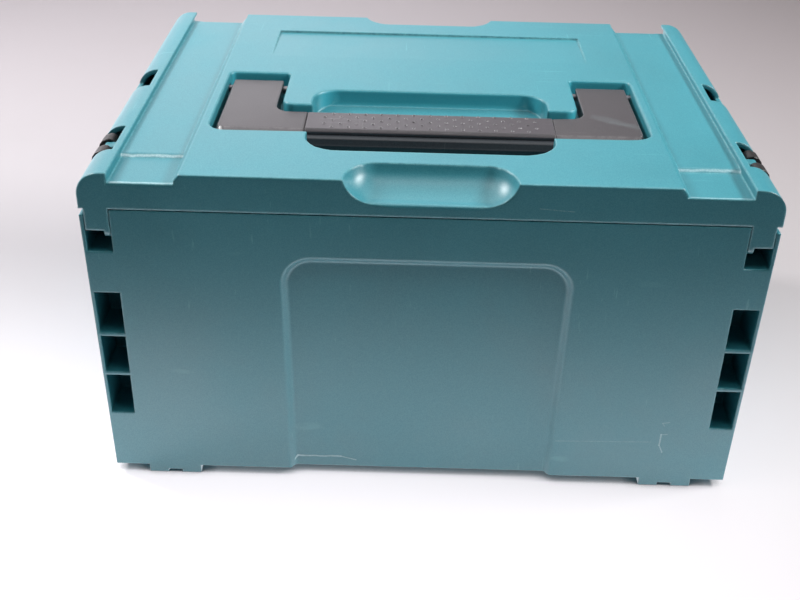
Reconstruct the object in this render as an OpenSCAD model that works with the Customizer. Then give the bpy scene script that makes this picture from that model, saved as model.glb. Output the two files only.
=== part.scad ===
// Hard tool case with a hinged lid, four swing latches and a fold-down carrying handle.
// The origin is on the floor under the middle of the case. The hinge side is +Y, the
// front with its two latches is -Y, and the two side latches are on +X and -X.

/* [Case] */
// Overall length of the case, along X
case_l = 395; // [380:1:460]
// Overall width of the case, along Y
case_w = 295; // [285:1:340]
// Overall height from the floor to the top of the lid
case_h = 210; // [200:1:330]
// Wall of the base and the lid
wall = 3; // [2.5:0.1:3.4]
// Height of the lid shell above its lower edge
lid_h = 21.5; // [20.5:0.1:24]
// Gap between the rim of the base and the lower edge of the lid
seam_gap = 1.2; // [1.1:0.1:1.4]
// Amount by which each side of the base leans in at the bottom
side_draft = 2.7; // [0:0.1:4]

/* [Feet] */
// Height of the feet
foot_h = 5.7; // [4:0.1:8]
// Width of each foot, and of each latch, along its wall
foot_w = 33; // [28:0.5:34]
// Distance from the side face to the middle of a foot or front latch
foot_in = 40.4; // [38.5:0.1:41.5]
// Depth of a rear foot, from the back face
rear_foot_d = 34; // [20:1:60]
// Width of the shallow notch in the middle of each foot
foot_notch_w = 8.8; // [4:0.1:14]
// Height of the shallow notch in the middle of each foot
foot_notch_h = 2.2; // [1:0.1:3]

/* [Lid top] */
// Distance from the side face to the top edge of the raised platform
platform_in = 58; // [56.5:0.1:58.5]
// Sideways run of the sloping wall of the platform
platform_slope = 3; // [1:0.1:4]
// Depth of the stacking channels below the platform
channel_depth = 3.5; // [3:0.1:4.5]
// Extra depth of the channels where the rear feet of a case above would stand
channel_step = 2.1; // [1:0.1:2.5]
// Length of the deeper part of each channel, from the back face
channel_step_l = 34; // [20:0.5:60]
// Width of a rail, from the side face
rail_w = 18.5; // [17.5:0.1:19]
// Inner wall of a rail
rail_wall = 4; // [3:0.1:5]
// Radius of the rounded outer edge of a rail
rail_r = 14.5; // [10:0.1:15]
// Length of the open slot in the crest of each rail
slot_l = 30; // [10:1:40]
// Place of the middle of that slot, along Y
slot_y = -3.5; // [-20:0.5:10]
// Half length of the thumb scoops between the centres of their round ends
scoop_half = 30.6; // [15:0.1:60]
// Radius of the thumb scoops
scoop_r = 18.8; // [15:0.1:19.5]
// Reach of the thumb scoops along Y, as a multiple of their radius
scoop_stretch = 1.32; // [1:0.01:1.36]
// Height of the scoop axis above the top of the lid
scoop_rise = 4.2; // [3:0.1:6]
// Half width of the shallow panel on the front half of the lid
panel_x = 110; // [60:1:125]
// Depth of that panel at its front edge, from where it runs out to nothing
panel_depth = 1.5; // [0.5:0.1:2]
// Length of that panel, along Y
panel_l = 56; // [30:1:65]

/* [Base walls] */
// Half width of the panel pressed into the back and front walls
back_panel_x = 84.5; // [50:0.5:120]
// Height of the top of the pressed panels above the floor
back_panel_top = 159.5; // [120:0.5:160]
// Half width of the panel pressed into each side
side_panel_y = 65; // [58:0.5:70]
// Depth of the pressed panels
panel_inset = 4; // [2:0.1:4.5]
// Radius of the upper corners of the pressed panels
panel_r = 17.5; // [8:0.5:25]
// Thickness of the floor of the base
floor_t = 3; // [2.5:0.1:6]
// Distance from the side face to the inner face of a side wall
inner_in = 23.5; // [22.5:0.5:24.5]
// Height of the windows in the rear corner columns, lowest first
window_h = [28.2, 25.8, 28];
// Rib between two of those windows
window_rib = 2.4; // [1.5:0.1:4]
// Height of the lowest window above the floor
window_z = 46.5; // [40:0.5:60]
// Depth of the windows and the hinge pockets
window_d = 28; // [15:1:40]
// Half length of the hand hold in each side
grip_half = 50; // [40:1:55]
// Height of the hand hold in each side
grip_h = 27; // [20:1:32]
// Depth of the hand hold below the pressed panel
grip_d = 12; // [8:0.5:13]

/* [Hinge] */
// Height of the hinge axis below the lower edge of the lid
hinge_drop = 14.5; // [14.3:0.1:16]
// Distance from the hinge axis to the back face
hinge_in = 5; // [4.6:0.1:5.2]
// Radius of the hinge pins
hinge_pin_r = 2; // [1.5:0.1:2.5]
// Thickness of the hinge ears on the lid
ear_t = 3.3; // [2.5:0.1:5]
// Depth of the hinge pocket below the hinge axis
hinge_pocket_drop = 13.5; // [8:0.5:16]

/* [Latches] */
// Distance from the pivot of a front latch to the front face
front_pivot_in = 5.5; // [5.4:0.1:6]
// Height of the pivots of the front latches below the top of the lid
front_pivot_drop = 10.6; // [10:0.1:11.5]
// Distance from the pivot of a side latch to the side face
side_pivot_in = 7; // [6.5:0.1:7.5]
// Height of the pivots of the side latches below the top of the lid
side_pivot_drop = 7.2; // [7:0.1:9]
// Distance from the back face to the middle of the side latches
side_latch_in = 50.35; // [49.5:0.05:57.5]
// Radius of the knuckles of a latch
knuckle_r = 4; // [3.4:0.1:4.2]
// Radius of the latch pins
latch_pin_r = 1.25; // [1:0.05:1.6]
// Length of a latch below its pivot
latch_drop = 44; // [40:0.5:48]
// Thickness of the plate of a latch
latch_t = 4.5; // [3.5:0.1:5]
// Height of the hook of a latch below its pivot
hook_drop = 31; // [28:0.5:33]
// Gap between the hook of a latch and the catch that it passes
hook_gap = 0.3; // [0.2:0.05:1]

/* [Handle] */
// Distance from the side face to the inner edge of a handle arm
arm_in = 99.9; // [99:0.1:101.5]
// Width of a handle arm
arm_w = 34.7; // [28:0.1:34.8]
// Thickness of a handle arm
arm_t = 9.1; // [7:0.1:9.5]
// Depth of the top of the arms below the top of the lid
arm_sink = 3.3; // [2.5:0.1:5]
// Distance from the end of the hand grip to the inner edge of an arm
grip_in = 21; // [20:0.5:37]
// Far edge of the grip and the arms, along Y
bridge_y0 = 41.6; // [41:0.1:46]
// Near edge of the grip and the arms, along Y
bridge_y1 = 78.4; // [76:0.1:79]
// Place of the handle pivot, along Y
pivot_y = -7.8; // [-8:0.1:0]
// Radius of the handle pivot pins
pivot_pin_r = 2.5; // [2:0.1:3]
// Length of an arm behind its pivot
arm_heel = 4.6; // [4.2:0.1:5]
// Length of the sloping near edge of an arm
arm_slope_l = 10.2; // [6:0.1:12]
// Height of the grip pad above the arms
pad_rise = 1.3; // [0.5:0.1:2]
// Depth of the grip shell below the pad
grip_shell_h = 16; // [12:0.5:17]
// Distance between the raised dots of one row of the grip pad
dot_pitch = 10.05; // [8:0.05:14]
// Radius of the raised dots
dot_r = 0.9; // [0.5:0.1:1.5]
// Height of the raised dots
dot_h = 0.5; // [0.3:0.1:1]

/* [Fits] */
// Running clearance around a pin, on the radius
run_fit = 0.08; // [0.03:0.01:0.1]
// Seating clearance around a fixed pin, on the radius
seat_fit = 0.02; // [0.01:0.01:0.05]
// Clearance between a seated piece and what carries it
seat_gap = 0.3; // [0.2:0.05:0.5]
// Clearance beside a latch in its bay
bay_gap = 1.05; // [0.6:0.05:1.2]
// Extra clearance of the side bays in the base, for the swing of the lid
swing_gap = 2.5; // [2.3:0.1:3]

/* [Hidden] */
$fn = 48;
eps = 0.01;
teal = "#16808c";
grey = "#5f5a60";
black = "#23262a";
steel = "#b9bcc0";

// Faces of the case
half_l = case_l / 2;
half_w = case_w / 2;
seam_z = case_h - lid_h;
rim_z = seam_z - seam_gap;
floor_z = foot_h + floor_t;
inner_x = half_l - inner_in;
foot_x = half_l - foot_in;

// Side construction: an outer skin, a flange and an inner wall
skin_drop = 4.5;
skin_top = seam_z - skin_drop;
base_inset = 0.2;
skin_t = 2;
skirt_gap = 0.6;
column_gap = 3.2;
hinge_gap = 0.4;
column_x = inner_x + wall + column_gap;
pocket_x = half_l - wall + 0.3;
skirt_x = pocket_x - hinge_gap;
bottom_x = half_l - base_inset - side_draft;

// Lid levels and rails
channel_z = case_h - channel_depth;
low_channel_z = channel_z - channel_step;
lid_under_z = low_channel_z - wall;
platform_x = half_l - platform_in;
rail_x = half_l - rail_w;
rail_cx = half_l - rail_r;
rail_cz = case_h - rail_r;
bay_x = rail_x + rail_wall;
niche_d = 11.5;
niche_y = -half_w + niche_d;

// Hinge axis
hinge_y = half_w - hinge_in;
hinge_z = seam_z - hinge_drop;

// Latches
latch_w = foot_w;
bay_half = latch_w / 2 + bay_gap;
front_pivot_z = case_h - front_pivot_drop;
side_pivot_z = case_h - side_pivot_drop;
side_latch_y = half_w - side_latch_in;
knuckle_in = 4;
knuckle_out = 13.7;
lug_half = 3.5;
lug_r = latch_pin_r + 1.15;
bay_d = 8.5;
hook_reach = 1.4;
catch_h = 3.3;
catch_clear = 0.7;
thumb_room = 6;
front_bay_z = front_pivot_z - latch_drop - thumb_room;
side_bay_z = side_pivot_z - latch_drop - thumb_room;

// Front corner columns of the base behind the front latches
post_x = foot_x - bay_half - wall;
post_y = -half_w + bay_d + wall;
stack_bay_z = foot_h + 34;
stack_bay_d = 6.5;
stack_catch_drop = 16;
stack_catch_h = 4;
front_reach = niche_y + half_w - front_pivot_in;
side_reach = half_l - side_pivot_in - bay_x;

// Hand holds in the sides
hold_drop = 7;
hold_top = back_panel_top - hold_drop;

// Handle pockets in the lid
arm_x = half_l - arm_in;
grip_x = arm_x - grip_in;
arm_gap_in = 3.7;
arm_gap_out = 1.5;
pocket_y0 = -18.7;
pocket_y1 = bridge_y1 + 1.6;
pocket_r = 10;
land_r = 8;
land_y = bridge_y0 - 4.9;
arm_top = case_h - arm_sink;
arm_bottom = arm_top - arm_t;
pocket_floor = arm_bottom - seat_gap;
pivot_z = arm_bottom + 4.4;
pit_floor = pivot_z - arm_heel - 2.4;
pit_y1 = pivot_y + 13;
well_y0 = 10.4;
well_y1 = 107.8;
well_x0 = grip_x - 2.2;
well_x1 = grip_x - 2.3;
well_r0 = 16;
well_r1 = 20.5;
well_floor = case_h - 26;
grip_room = 1;

// Shallow panel and edges of the lid top
panel_y = -half_w + 38.5;
front_scoop_out = 7.6;

// Arms and grip
arm_r_in = 9;
arm_r_out = 10.5;
arm_nose_r = 1.5;
arm_slope_h = 3.4;
arm_slope_side = 2;
pad_top = arm_top + pad_rise;
pad_t = 3.6;
pad_bottom = pad_top - pad_t;
grip_bottom = pad_bottom - grip_shell_h;
tongue_l = 26;
tongue_y0 = bridge_y0 + 8;
tongue_y1 = bridge_y1 - 12;
tongue_z0 = arm_bottom;
screw_x = grip_x - tongue_l / 2;
screw_y = (tongue_y0 + tongue_y1) / 2;
screw_step = 4;
screw_r = 1.5;
screw_head_r = 3;
screw_head_h = 2;
screw_sink = 0.4;
screw_l = tongue_z0 - grip_bottom + 5;
pin_bury = 2.4;
pin_x0 = arm_x - arm_gap_in - pin_bury;
pin_x1 = arm_x + arm_w + arm_gap_out + pin_bury;
pad_y0 = bridge_y0 + 1.9;
pad_y1 = bridge_y1 - 5.9;
dot_y0 = pad_y0 + 3.4;
dot_row = 5.2;

function arc(cx, cy, r, a0, a1, n = 8) =
    [for (i = [0:n]) [cx + r * cos(a0 + (a1 - a0) * i / n), cy + r * sin(a0 + (a1 - a0) * i / n)]];

function flip(points) = [for (i = [len(points) - 1:-1:0]) [-points[i][0], points[i][1]]];

// Both mirror images of something drawn on +X
module both_sides() {
    children();
    mirror([1, 0, 0]) children();
}

// A box from one corner to the other
module block(low, high) {
    translate(low) cube(high - low);
}

// An outline drawn in X and Z, pushed along Y
module along_y(y0, y1) {
    translate([0, y1, 0]) rotate([90, 0, 0]) linear_extrude(y1 - y0) children();
}

// An outline drawn in Y and Z, pushed along X
module along_x(x0, x1) {
    translate([x0, 0, 0]) rotate([90, 0, 90]) linear_extrude(x1 - x0) children();
}

// A round bar along X
module bar_x(x0, x1, y, z, r) {
    translate([x0, y, z]) rotate([0, 90, 0]) cylinder(h = x1 - x0, r = r);
}

// ---------------------------------------------------------------- base

// Half width of the base at a height, on its leaning side
function skin_x(z) = half_l - base_inset - side_draft * (skin_top - z) / (skin_top - foot_h);

// Outer form of the base: upright front and back, sides that lean in a little
module base_block() {
    top_x = half_l - base_inset;
    along_y(-half_w, half_w)
        polygon([[-bottom_x, foot_h], [bottom_x, foot_h],
                 [top_x, skin_top], [column_x, skin_top], [column_x, rim_z],
                 [-column_x, rim_z], [-column_x, skin_top], [-top_x, skin_top]]);
}

// Outline of a pressed panel with round upper corners; inset shrinks it
module panel_outline(half, inset) {
    top = back_panel_top - inset;
    x = half - inset;
    r = panel_r - inset;
    polygon(concat([[-x + 2, foot_h - 1], [x - 2, foot_h - 1]],
                   arc(x - r, top - r, r, 0, 90), arc(-x + r, top - r, r, 90, 180)));
}

// Sloping-edged cut for a pressed panel in a wall whose face is at +Y
module panel_cut(half, face) {
    hull() {
        translate([0, face + eps, 0]) rotate([90, 0, 0]) linear_extrude(eps) panel_outline(half, 0);
        translate([0, face - panel_inset + eps, 0]) rotate([90, 0, 0])
            linear_extrude(eps) panel_outline(half, 3);
    }
}

// The space that the base encloses, less the posts and panel backings
module base_space() {
    difference() {
        block([-inner_x, -half_w + wall, floor_z], [inner_x, half_w - wall, rim_z + 1]);
        for (turn = [0, 180])
            rotate([0, 0, turn])
                block([-back_panel_x - wall, half_w - wall - panel_inset, 0],
                      [back_panel_x + wall, half_w, back_panel_top + wall]);
        both_sides() {
            block([post_x, -half_w, 0], [half_l, post_y, stack_bay_z + wall]);
            block([post_x, -half_w, front_bay_z - wall], [half_l, post_y, case_h]);
        }
    }
}

// Open windows and the hinge pocket of a rear corner column, on +X
module column_cuts() {
    z1 = window_z + window_h[0] + window_rib;
    z2 = z1 + window_h[1] + window_rib;
    for (window = [[window_z, window_h[0]], [z1, window_h[1]], [z2, window_h[2]]]) {
        high = window[0] + window[1];
        along_y(half_w - window_d, half_w + 1)
            polygon([[column_x - 1, window[0]], [skin_x(window[0]) - skin_t, window[0]],
                     [skin_x(high) - skin_t, high], [column_x - 1, high]]);
    }
    block([column_x, half_w - window_d, hinge_z - hinge_pocket_drop], [pocket_x, half_w + 1, case_h]);
}

// Bay of a front latch in the base, with its catch, on +X
module front_bay() {
    z1 = front_pivot_z - hook_drop + catch_clear;
    difference() {
        union() {
            block([foot_x - bay_half, -half_w - 1, front_bay_z],
                  [foot_x + bay_half, -half_w + bay_d, case_h]);
            block([foot_x - bay_half, -half_w - 1, foot_h - 1],
                  [foot_x + bay_half, -half_w + stack_bay_d, stack_bay_z]);
        }
        block([foot_x - bay_half, -half_w + latch_t + hook_reach + hook_gap, z1],
              [foot_x + bay_half, half_w, z1 + catch_h]);
        block([foot_x - bay_half, -half_w + latch_t, stack_bay_z - stack_catch_drop],
              [foot_x + bay_half, half_w, stack_bay_z - stack_catch_drop + stack_catch_h]);
    }
}

// Bay of a side latch in the base, with its catch, on +X
module side_bay() {
    z1 = side_pivot_z - hook_drop + catch_clear;
    z2 = stack_bay_z - stack_catch_drop;
    y0 = side_latch_y - bay_half - swing_gap;
    y1 = side_latch_y + bay_half + swing_gap;
    difference() {
        union() {
            block([half_l - bay_d, y0, side_bay_z], [half_l + 1, y1, case_h]);
            block([bottom_x - stack_bay_d, y0, foot_h - 1], [half_l + 1, y1, stack_bay_z]);
        }
        block([0, y0, z1], [half_l - latch_t - hook_reach - hook_gap, y1, z1 + catch_h]);
        block([0, y0, z2], [bottom_x - latch_t, y1, z2 + stack_catch_h]);
    }
}

// Hand hold below the top of a side panel, on +X
module hand_hold() {
    block([half_l - panel_inset - grip_d, -grip_half, hold_top - grip_h],
          [half_l, grip_half, hold_top]);
}

// Hollows of the double side wall, open underneath, on +X
module side_cells() {
    x0 = inner_x + wall;
    skin_x = bottom_x - wall;
    hold_z = hold_top - grip_h - wall;
    high = skin_top - wall;
    low = foot_h - 1;
    block([x0, -half_w + wall, low], [skin_x, -side_panel_y - 10, high]);
    block([x0, -side_panel_y + wall, low], [skin_x - panel_inset, side_panel_y - wall, hold_z]);
    block([x0, side_latch_y - bay_half, low],
          [half_l - bay_d - wall, side_latch_y + bay_half, high]);
}

// Feet under the base, on +X
module feet() {
    for (span = [[half_w - rear_foot_d, half_w], [-half_w + stack_bay_d, niche_y + 1]])
        difference() {
            block([foot_x - foot_w / 2, span[0], 0], [foot_x + foot_w / 2, span[1], foot_h + eps]);
            block([foot_x - foot_notch_w / 2, span[0] - 1, -1],
                  [foot_x + foot_notch_w / 2, span[1] + 1, foot_notch_h]);
        }
}

module base_shell() {
    color(teal) {
        difference() {
            base_block();
            base_space();
            for (turn = [0, 180])
                rotate([0, 0, turn]) panel_cut(back_panel_x, half_w);
            for (turn = [-90, 90])
                rotate([0, 0, turn]) panel_cut(side_panel_y, half_l - base_inset);
            both_sides() {
                column_cuts();
                front_bay();
                side_bay();
                hand_hold();
                side_cells();
                bar_x(inner_x + 1.2, half_l + 1, hinge_y, hinge_z, hinge_pin_r + seat_fit);
            }
        }
        both_sides() feet();
    }
}

// ---------------------------------------------------------------- lid

// Half of the lid's outer section on +X, from the middle outwards and down
function lid_section() =
    concat([[platform_x, case_h], [platform_x + platform_slope, channel_z], [rail_x, channel_z],
            [rail_x, case_h]], arc(rail_cx, rail_cz, rail_r, 90, 0, 12), [[half_l, seam_z]]);

// Half of the hollow inside the lid on +X
function lid_hollow() =
    concat([[platform_x - 1, case_h - wall], [platform_x + platform_slope - 1, lid_under_z],
            [bay_x, lid_under_z], [bay_x, case_h - wall]],
           arc(rail_cx, rail_cz, rail_r - wall, 90, 0, 12), [[half_l - wall, seam_z - 1]]);

// The round-ended scoop that a thumb reaches into; grow thickens it for its backing
module scoop(y, grow) {
    hull()
        for (x = [-scoop_half, scoop_half])
            translate([x, y, case_h + scoop_rise])
                scale([1, scoop_stretch, 1]) sphere(r = scoop_r + grow);
}

// Plan of a handle arm pocket on +X; grow widens it for the wall around it
module arm_pocket_plan(grow) {
    x0 = arm_x - arm_gap_in - grow;
    x1 = arm_x + arm_w + arm_gap_out + grow;
    y0 = pocket_y0 - grow;
    y1 = pocket_y1 + grow;
    r = pocket_r + grow;
    polygon(concat([[well_x0 - well_r0, y1], [well_x0 - well_r0, land_y - grow]],
                   arc(x0 + grow - land_r, land_y - land_r, land_r - grow, 90, 0),
                   arc(x0 + 2.5, y0 + 2.5, 2.5, 180, 270, 4), arc(x1 - 4, y0 + 4, 4, 270, 360, 4),
                   arc(x1 - r, y1 - r, r, 0, 90)));
}

// Plan of the finger well in the middle of the handle
module well_plan(grow) {
    far = arc(well_x0 - well_r0, well_y0 + well_r0, well_r0 + grow, -90, 0);
    near = arc(well_x1 - well_r1, well_y1 - well_r1, well_r1 + grow, 0, 90);
    half = grip_x + grip_room + grow;
    polygon(concat(far, near, flip(concat(far, near))));
    translate([-half, land_y - grow]) square([2 * half, pocket_y1 - land_y + 2 * grow]);
}

// Side view of the finger well: a short wall, a ramp, a flat floor and a wall
module well_profile(grow) {
    polygon([[well_y0 - grow, case_h + 1], [well_y0 - grow, case_h - 8 - grow],
             [well_y0 + 1.2 - grow / 2, case_h - 10.4 - grow],
             [well_y0 + 5 - grow / 3, case_h - 11.6 - grow],
             [well_y0 + 25.5, case_h - 16.5 - grow], [well_y0 + 35.5, well_floor - grow],
             [well_y1 - 9, well_floor - grow], [well_y1 - 3.5 + grow / 2, well_floor + 3 - grow],
             [well_y1 + grow, well_floor + 12 - grow], [well_y1 + grow, case_h + 1]]);
}

// Everything that the handle sinks into; grow gives the skin around it
module handle_pocket(grow) {
    intersection() {
        translate([0, 0, 150]) linear_extrude(100) well_plan(grow);
        along_x(-100, 100) well_profile(grow);
    }
    both_sides() {
        translate([0, 0, pocket_floor - grow]) linear_extrude(60) arm_pocket_plan(grow);
        intersection() {
            translate([0, 0, pit_floor - grow]) linear_extrude(60) arm_pocket_plan(grow);
            block([0, pocket_y0 - grow, 0], [half_l, pit_y1 + grow, case_h + 50]);
        }
    }
}

// Bay, crest slot and lug of the rail on +X
module rail_cuts() {
    block([bay_x, side_latch_y - bay_half, 0], [half_l + 1, side_latch_y + bay_half, case_h + 1]);
    block([bay_x, slot_y - slot_l / 2, case_h - 10], [half_l + 1, slot_y + slot_l / 2, case_h + 1]);
    block([bay_x, slot_y - slot_l / 2, case_h - 16], [half_l - 6.5, slot_y + slot_l / 2, case_h + 1]);
}

// Deeper rear part of the stacking channel on +X
module channel_step_cut() {
    y0 = half_w - channel_step_l;
    along_x(platform_x + platform_slope, rail_x)
        polygon([[y0 - 2.5, channel_z + eps], [y0, low_channel_z], [half_w + 1, low_channel_z],
                 [half_w + 1, channel_z + eps]]);
}

// Shallow panel on the front half of the lid, which runs out to nothing
module panel_recess() {
    along_x(-panel_x, panel_x)
        polygon([[panel_y, case_h - panel_depth], [panel_y + panel_l, case_h],
                 [panel_y + panel_l, case_h + 1], [panel_y, case_h + 1]]);
}

// Niche of a front latch in the lid, and the slot in the end of the rail, on +X
module front_niche() {
    block([platform_x, -half_w - 1, 0], [foot_x + bay_half, niche_y, case_h + 1]);
    block([platform_x, -half_w - 1, channel_z - 3], [rail_x, niche_y, case_h + 1]);
    block([rail_x - 1, -half_w - 1, channel_z - 3], [rail_x + 2.2, niche_y + 1, case_h - 2]);
}

// Lug that carries a latch pin, drawn at the pin with the wall at -reach along X
module latch_lug(reach) {
    rotate([90, 0, 0]) translate([0, 0, -lug_half]) linear_extrude(2 * lug_half) {
        circle(r = lug_r);
        translate([-reach - 1, -lug_r]) square([reach + 1, 2 * lug_r]);
        translate([-reach - 1, -6]) square([reach - 2, 6]);
    }
}

// Puts something drawn at the pin, outwards along X, at the front latch on +X
module at_front_latch() {
    translate([foot_x, -half_w + front_pivot_in, front_pivot_z]) rotate([0, 0, -90]) children();
}

// Puts something drawn at the pin, outwards along X, at the side latch on +X
module at_side_latch() {
    translate([half_l - side_pivot_in, side_latch_y, side_pivot_z]) children();
}

// Hinge ear and rear tab of the lid, on +X
module hinge_tab() {
    x0 = column_x + hinge_gap;
    block([x0, half_w - wall, hinge_z + 0.3], [skirt_x, half_w, seam_z + 2]);
    difference() {
        union() {
            bar_x(x0 - 0.1, x0 + ear_t, hinge_y, hinge_z, hinge_in);
            block([x0 - 0.1, hinge_y - 4.5, hinge_z], [x0 + ear_t, half_w, seam_z + 10]);
        }
        bar_x(x0 - 1, x0 + ear_t + 1, hinge_y, hinge_z, hinge_pin_r + run_fit);
    }
}

// Inner skirt that drops behind the outer skin of the base, and the rib over its rim
module lid_skirts() {
    difference() {
        block([skirt_x - wall, -half_w + wall - 1, skin_top + skirt_gap],
              [half_l - wall + 1, half_w - wall + 1, seam_z + 6]);
        block([skirt_x, -half_w - 1, 0], [half_l, half_w + 1, seam_z]);
        block([bay_x, side_latch_y - bay_half, 0], [half_l + 1, side_latch_y + bay_half, case_h]);
    }
    block([inner_x, niche_y, seam_z], [inner_x + wall, half_w - wall + 1, lid_under_z + 1]);
}

// Outer form of the lid without its pockets
module lid_block() {
    along_y(-half_w, half_w) polygon(concat(lid_section(), flip(lid_section())));
}

// The hollow under the lid, less the backing of the niches and scoops
module lid_space() {
    difference() {
        along_y(-half_w + wall, half_w - wall) polygon(concat(lid_hollow(), flip(lid_hollow())));
        both_sides() block([post_x, -half_w, 0], [bay_x, niche_y + wall, case_h]);
        scoop(half_w, wall);
        scoop(-half_w - front_scoop_out, wall);
    }
}

// Skin around the handle pocket and the finger well
module pocket_skin() {
    intersection() {
        handle_pocket(wall);
        block([-half_l, -half_w, 0], [half_l, half_w, case_h - 1]);
    }
}

module lid_shell() {
    color(teal)
    difference() {
        union() {
            difference() {
                lid_block();
                lid_space();
                both_sides() {
                    rail_cuts();
                    front_niche();
                    channel_step_cut();
                }
                panel_recess();
            }
            pocket_skin();
            both_sides() {
                hinge_tab();
                lid_skirts();
                at_front_latch() latch_lug(front_reach);
                at_side_latch() latch_lug(side_reach);
            }
        }
        handle_pocket(0);
        scoop(half_w, 0);
        scoop(-half_w - front_scoop_out, 0);
        both_sides() {
            bar_x(pin_x0 - 0.2, pin_x1 + 0.2, pivot_y, pivot_z, pivot_pin_r + seat_fit);
            at_front_latch() pin_bore(lug_half + 1, latch_pin_r + seat_fit);
            at_side_latch() pin_bore(lug_half + 1, latch_pin_r + seat_fit);
        }
    }
}

// ---------------------------------------------------------------- hinge pins

module hinge_pin() {
    bar_x(inner_x + 1.4, half_l - 0.7, hinge_y, hinge_z, hinge_pin_r);
}

module hinge_pin_left() {
    color(steel) hinge_pin();
}

module hinge_pin_right() {
    color(steel) mirror([1, 0, 0]) hinge_pin();
}

// ---------------------------------------------------------------- latches

// An outline drawn outwards and up from the pin, pushed along the pin
module across(y0, y1) {
    translate([0, y1, 0]) rotate([90, 0, 0]) linear_extrude(y1 - y0) children();
}

// A round hole or bar along a latch pin
module pin_bore(half, r) {
    translate([0, -half, 0]) rotate([-90, 0, 0]) cylinder(h = 2 * half, r = r);
}

// A latch drawn at its pin, outwards along X; out is the distance to its outer face
module latch(out) {
    back = out - latch_t;
    foot = -latch_drop;
    hook = -hook_drop;
    color(black)
    difference() {
        union() {
            for (y = [-knuckle_out, knuckle_in])
                across(y, y + knuckle_out - knuckle_in) {
                    circle(r = knuckle_r);
                    polygon([[0, knuckle_r], [0.55 * out, 2.7], [0.85 * out, 0.2], [0.96 * out, -3],
                             [out, -7.5], [out, -12], [back, -12], [back - 0.5, -8], [-1.5, -3.7]]);
                }
            across(-latch_w / 2, latch_w / 2)
                polygon([[back, -6.5], [out - 1, -5.5], [out, -7.5], [out, foot + 4], [out - 1.5, foot],
                         [back + 0.5, foot], [back, foot + 4], [back, hook - 2.5],
                         [back - hook_reach, hook - 2], [back - hook_reach, hook], [back, hook + 1]]);
        }
        pin_bore(latch_w, latch_pin_r + run_fit);
        for (z = [foot + 5, foot + 8, foot + 11])
            block([out - 0.6, -latch_w / 2 + 4, z], [out + 1, latch_w / 2 - 4, z + 1.4]);
    }
}

// A latch pin drawn at its own middle
module latch_pin() {
    color(steel) pin_bore(knuckle_out, latch_pin_r);
}

module latch_front_left() {
    at_front_latch() latch(front_pivot_in);
}

module latch_front_right() {
    mirror([1, 0, 0]) at_front_latch() latch(front_pivot_in);
}

module latch_side_left() {
    at_side_latch() latch(side_pivot_in);
}

module latch_side_right() {
    mirror([1, 0, 0]) at_side_latch() latch(side_pivot_in);
}

module latch_pin_front_left() {
    at_front_latch() latch_pin();
}

module latch_pin_front_right() {
    mirror([1, 0, 0]) at_front_latch() latch_pin();
}

module latch_pin_side_left() {
    at_side_latch() latch_pin();
}

module latch_pin_side_right() {
    mirror([1, 0, 0]) at_side_latch() latch_pin();
}

// ---------------------------------------------------------------- handle

// Plan of a handle arm on +X: the arm, a round inner corner and the bridge to the grip
module arm_plan() {
    y0 = pivot_y - arm_heel;
    x1 = arm_x + arm_w;
    polygon(concat([[grip_x, bridge_y1], [grip_x, bridge_y0]],
                   arc(arm_x - arm_r_in, bridge_y0 - arm_r_in, arm_r_in, 90, 0),
                   arc(arm_x + arm_nose_r, y0 + arm_nose_r, arm_nose_r, 180, 270, 3),
                   arc(x1 - arm_nose_r, y0 + arm_nose_r, arm_nose_r, 270, 360, 3),
                   arc(x1 - arm_r_out, bridge_y1 - arm_r_out, arm_r_out, 0, 90)));
}

// Plan of the arm's end in from its outer side and its near edge, on +X
module arm_end_plan(side, near, r) {
    x1 = arm_x + arm_w - side;
    y1 = bridge_y1 - near;
    polygon(concat([[0, y1], [0, pocket_y0], [x1, pocket_y0]], arc(x1 - r, y1 - r, r, 0, 90)));
}

// Outer form of an arm: a flat top that slopes off at its side and at its near edge
module arm_crown() {
    hull() {
        translate([0, 0, arm_top - eps]) linear_extrude(eps)
            arm_end_plan(arm_slope_side, arm_slope_l, arm_r_out / 2);
        translate([0, 0, arm_top - arm_slope_h]) linear_extrude(eps)
            arm_end_plan(0.2, arm_slope_l / 4, arm_r_out);
        translate([0, 0, arm_bottom - 1]) linear_extrude(4) arm_end_plan(0, 0, arm_r_out);
    }
}

// Places of the two screws that hold one arm, on +X
module at_screws() {
    for (y = [screw_y - screw_step, screw_y + screw_step])
        translate([screw_x, y, grip_bottom + screw_sink]) children();
}

module handle_arm() {
    color(grey)
    difference() {
        union() {
            intersection() {
                translate([0, 0, arm_bottom]) linear_extrude(arm_t) arm_plan();
                arm_crown();
            }
            block([grip_x - tongue_l, tongue_y0, tongue_z0],
                  [grip_x + 4, tongue_y1, pad_bottom - seat_gap]);
        }
        bar_x(arm_x - 1, arm_x + arm_w + 1, pivot_y, pivot_z, pivot_pin_r + run_fit);
        at_screws() cylinder(h = screw_l + screw_sink, r = screw_r + seat_fit);
    }
}

module handle_arm_left() {
    handle_arm();
}

module handle_arm_right() {
    mirror([1, 0, 0]) handle_arm();
}

// Pad on top of the grip with staggered rows of raised dots
module handle_grip_pad() {
    half = grip_x - seat_gap;
    y0 = pad_y0;
    y1 = pad_y1;
    color(grey) {
        along_x(-half, half)
            polygon([[y0, pad_bottom], [y1, pad_bottom], [y1, pad_top - 1.8], [y1 - 1.8, pad_top],
                     [y0 + 1.8, pad_top], [y0, pad_top - 1.8]]);
        for (row = [0:4]) {
            odd = row % 2;
            count = floor((half - 6) / dot_pitch - odd / 2);
            for (i = [-count - odd:count])
                translate([(i + odd / 2) * dot_pitch, dot_y0 + row * dot_row, pad_top - 0.1])
                    cylinder(h = dot_h + 0.1, r = dot_r, $fn = 16);
        }
    }
}

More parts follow.
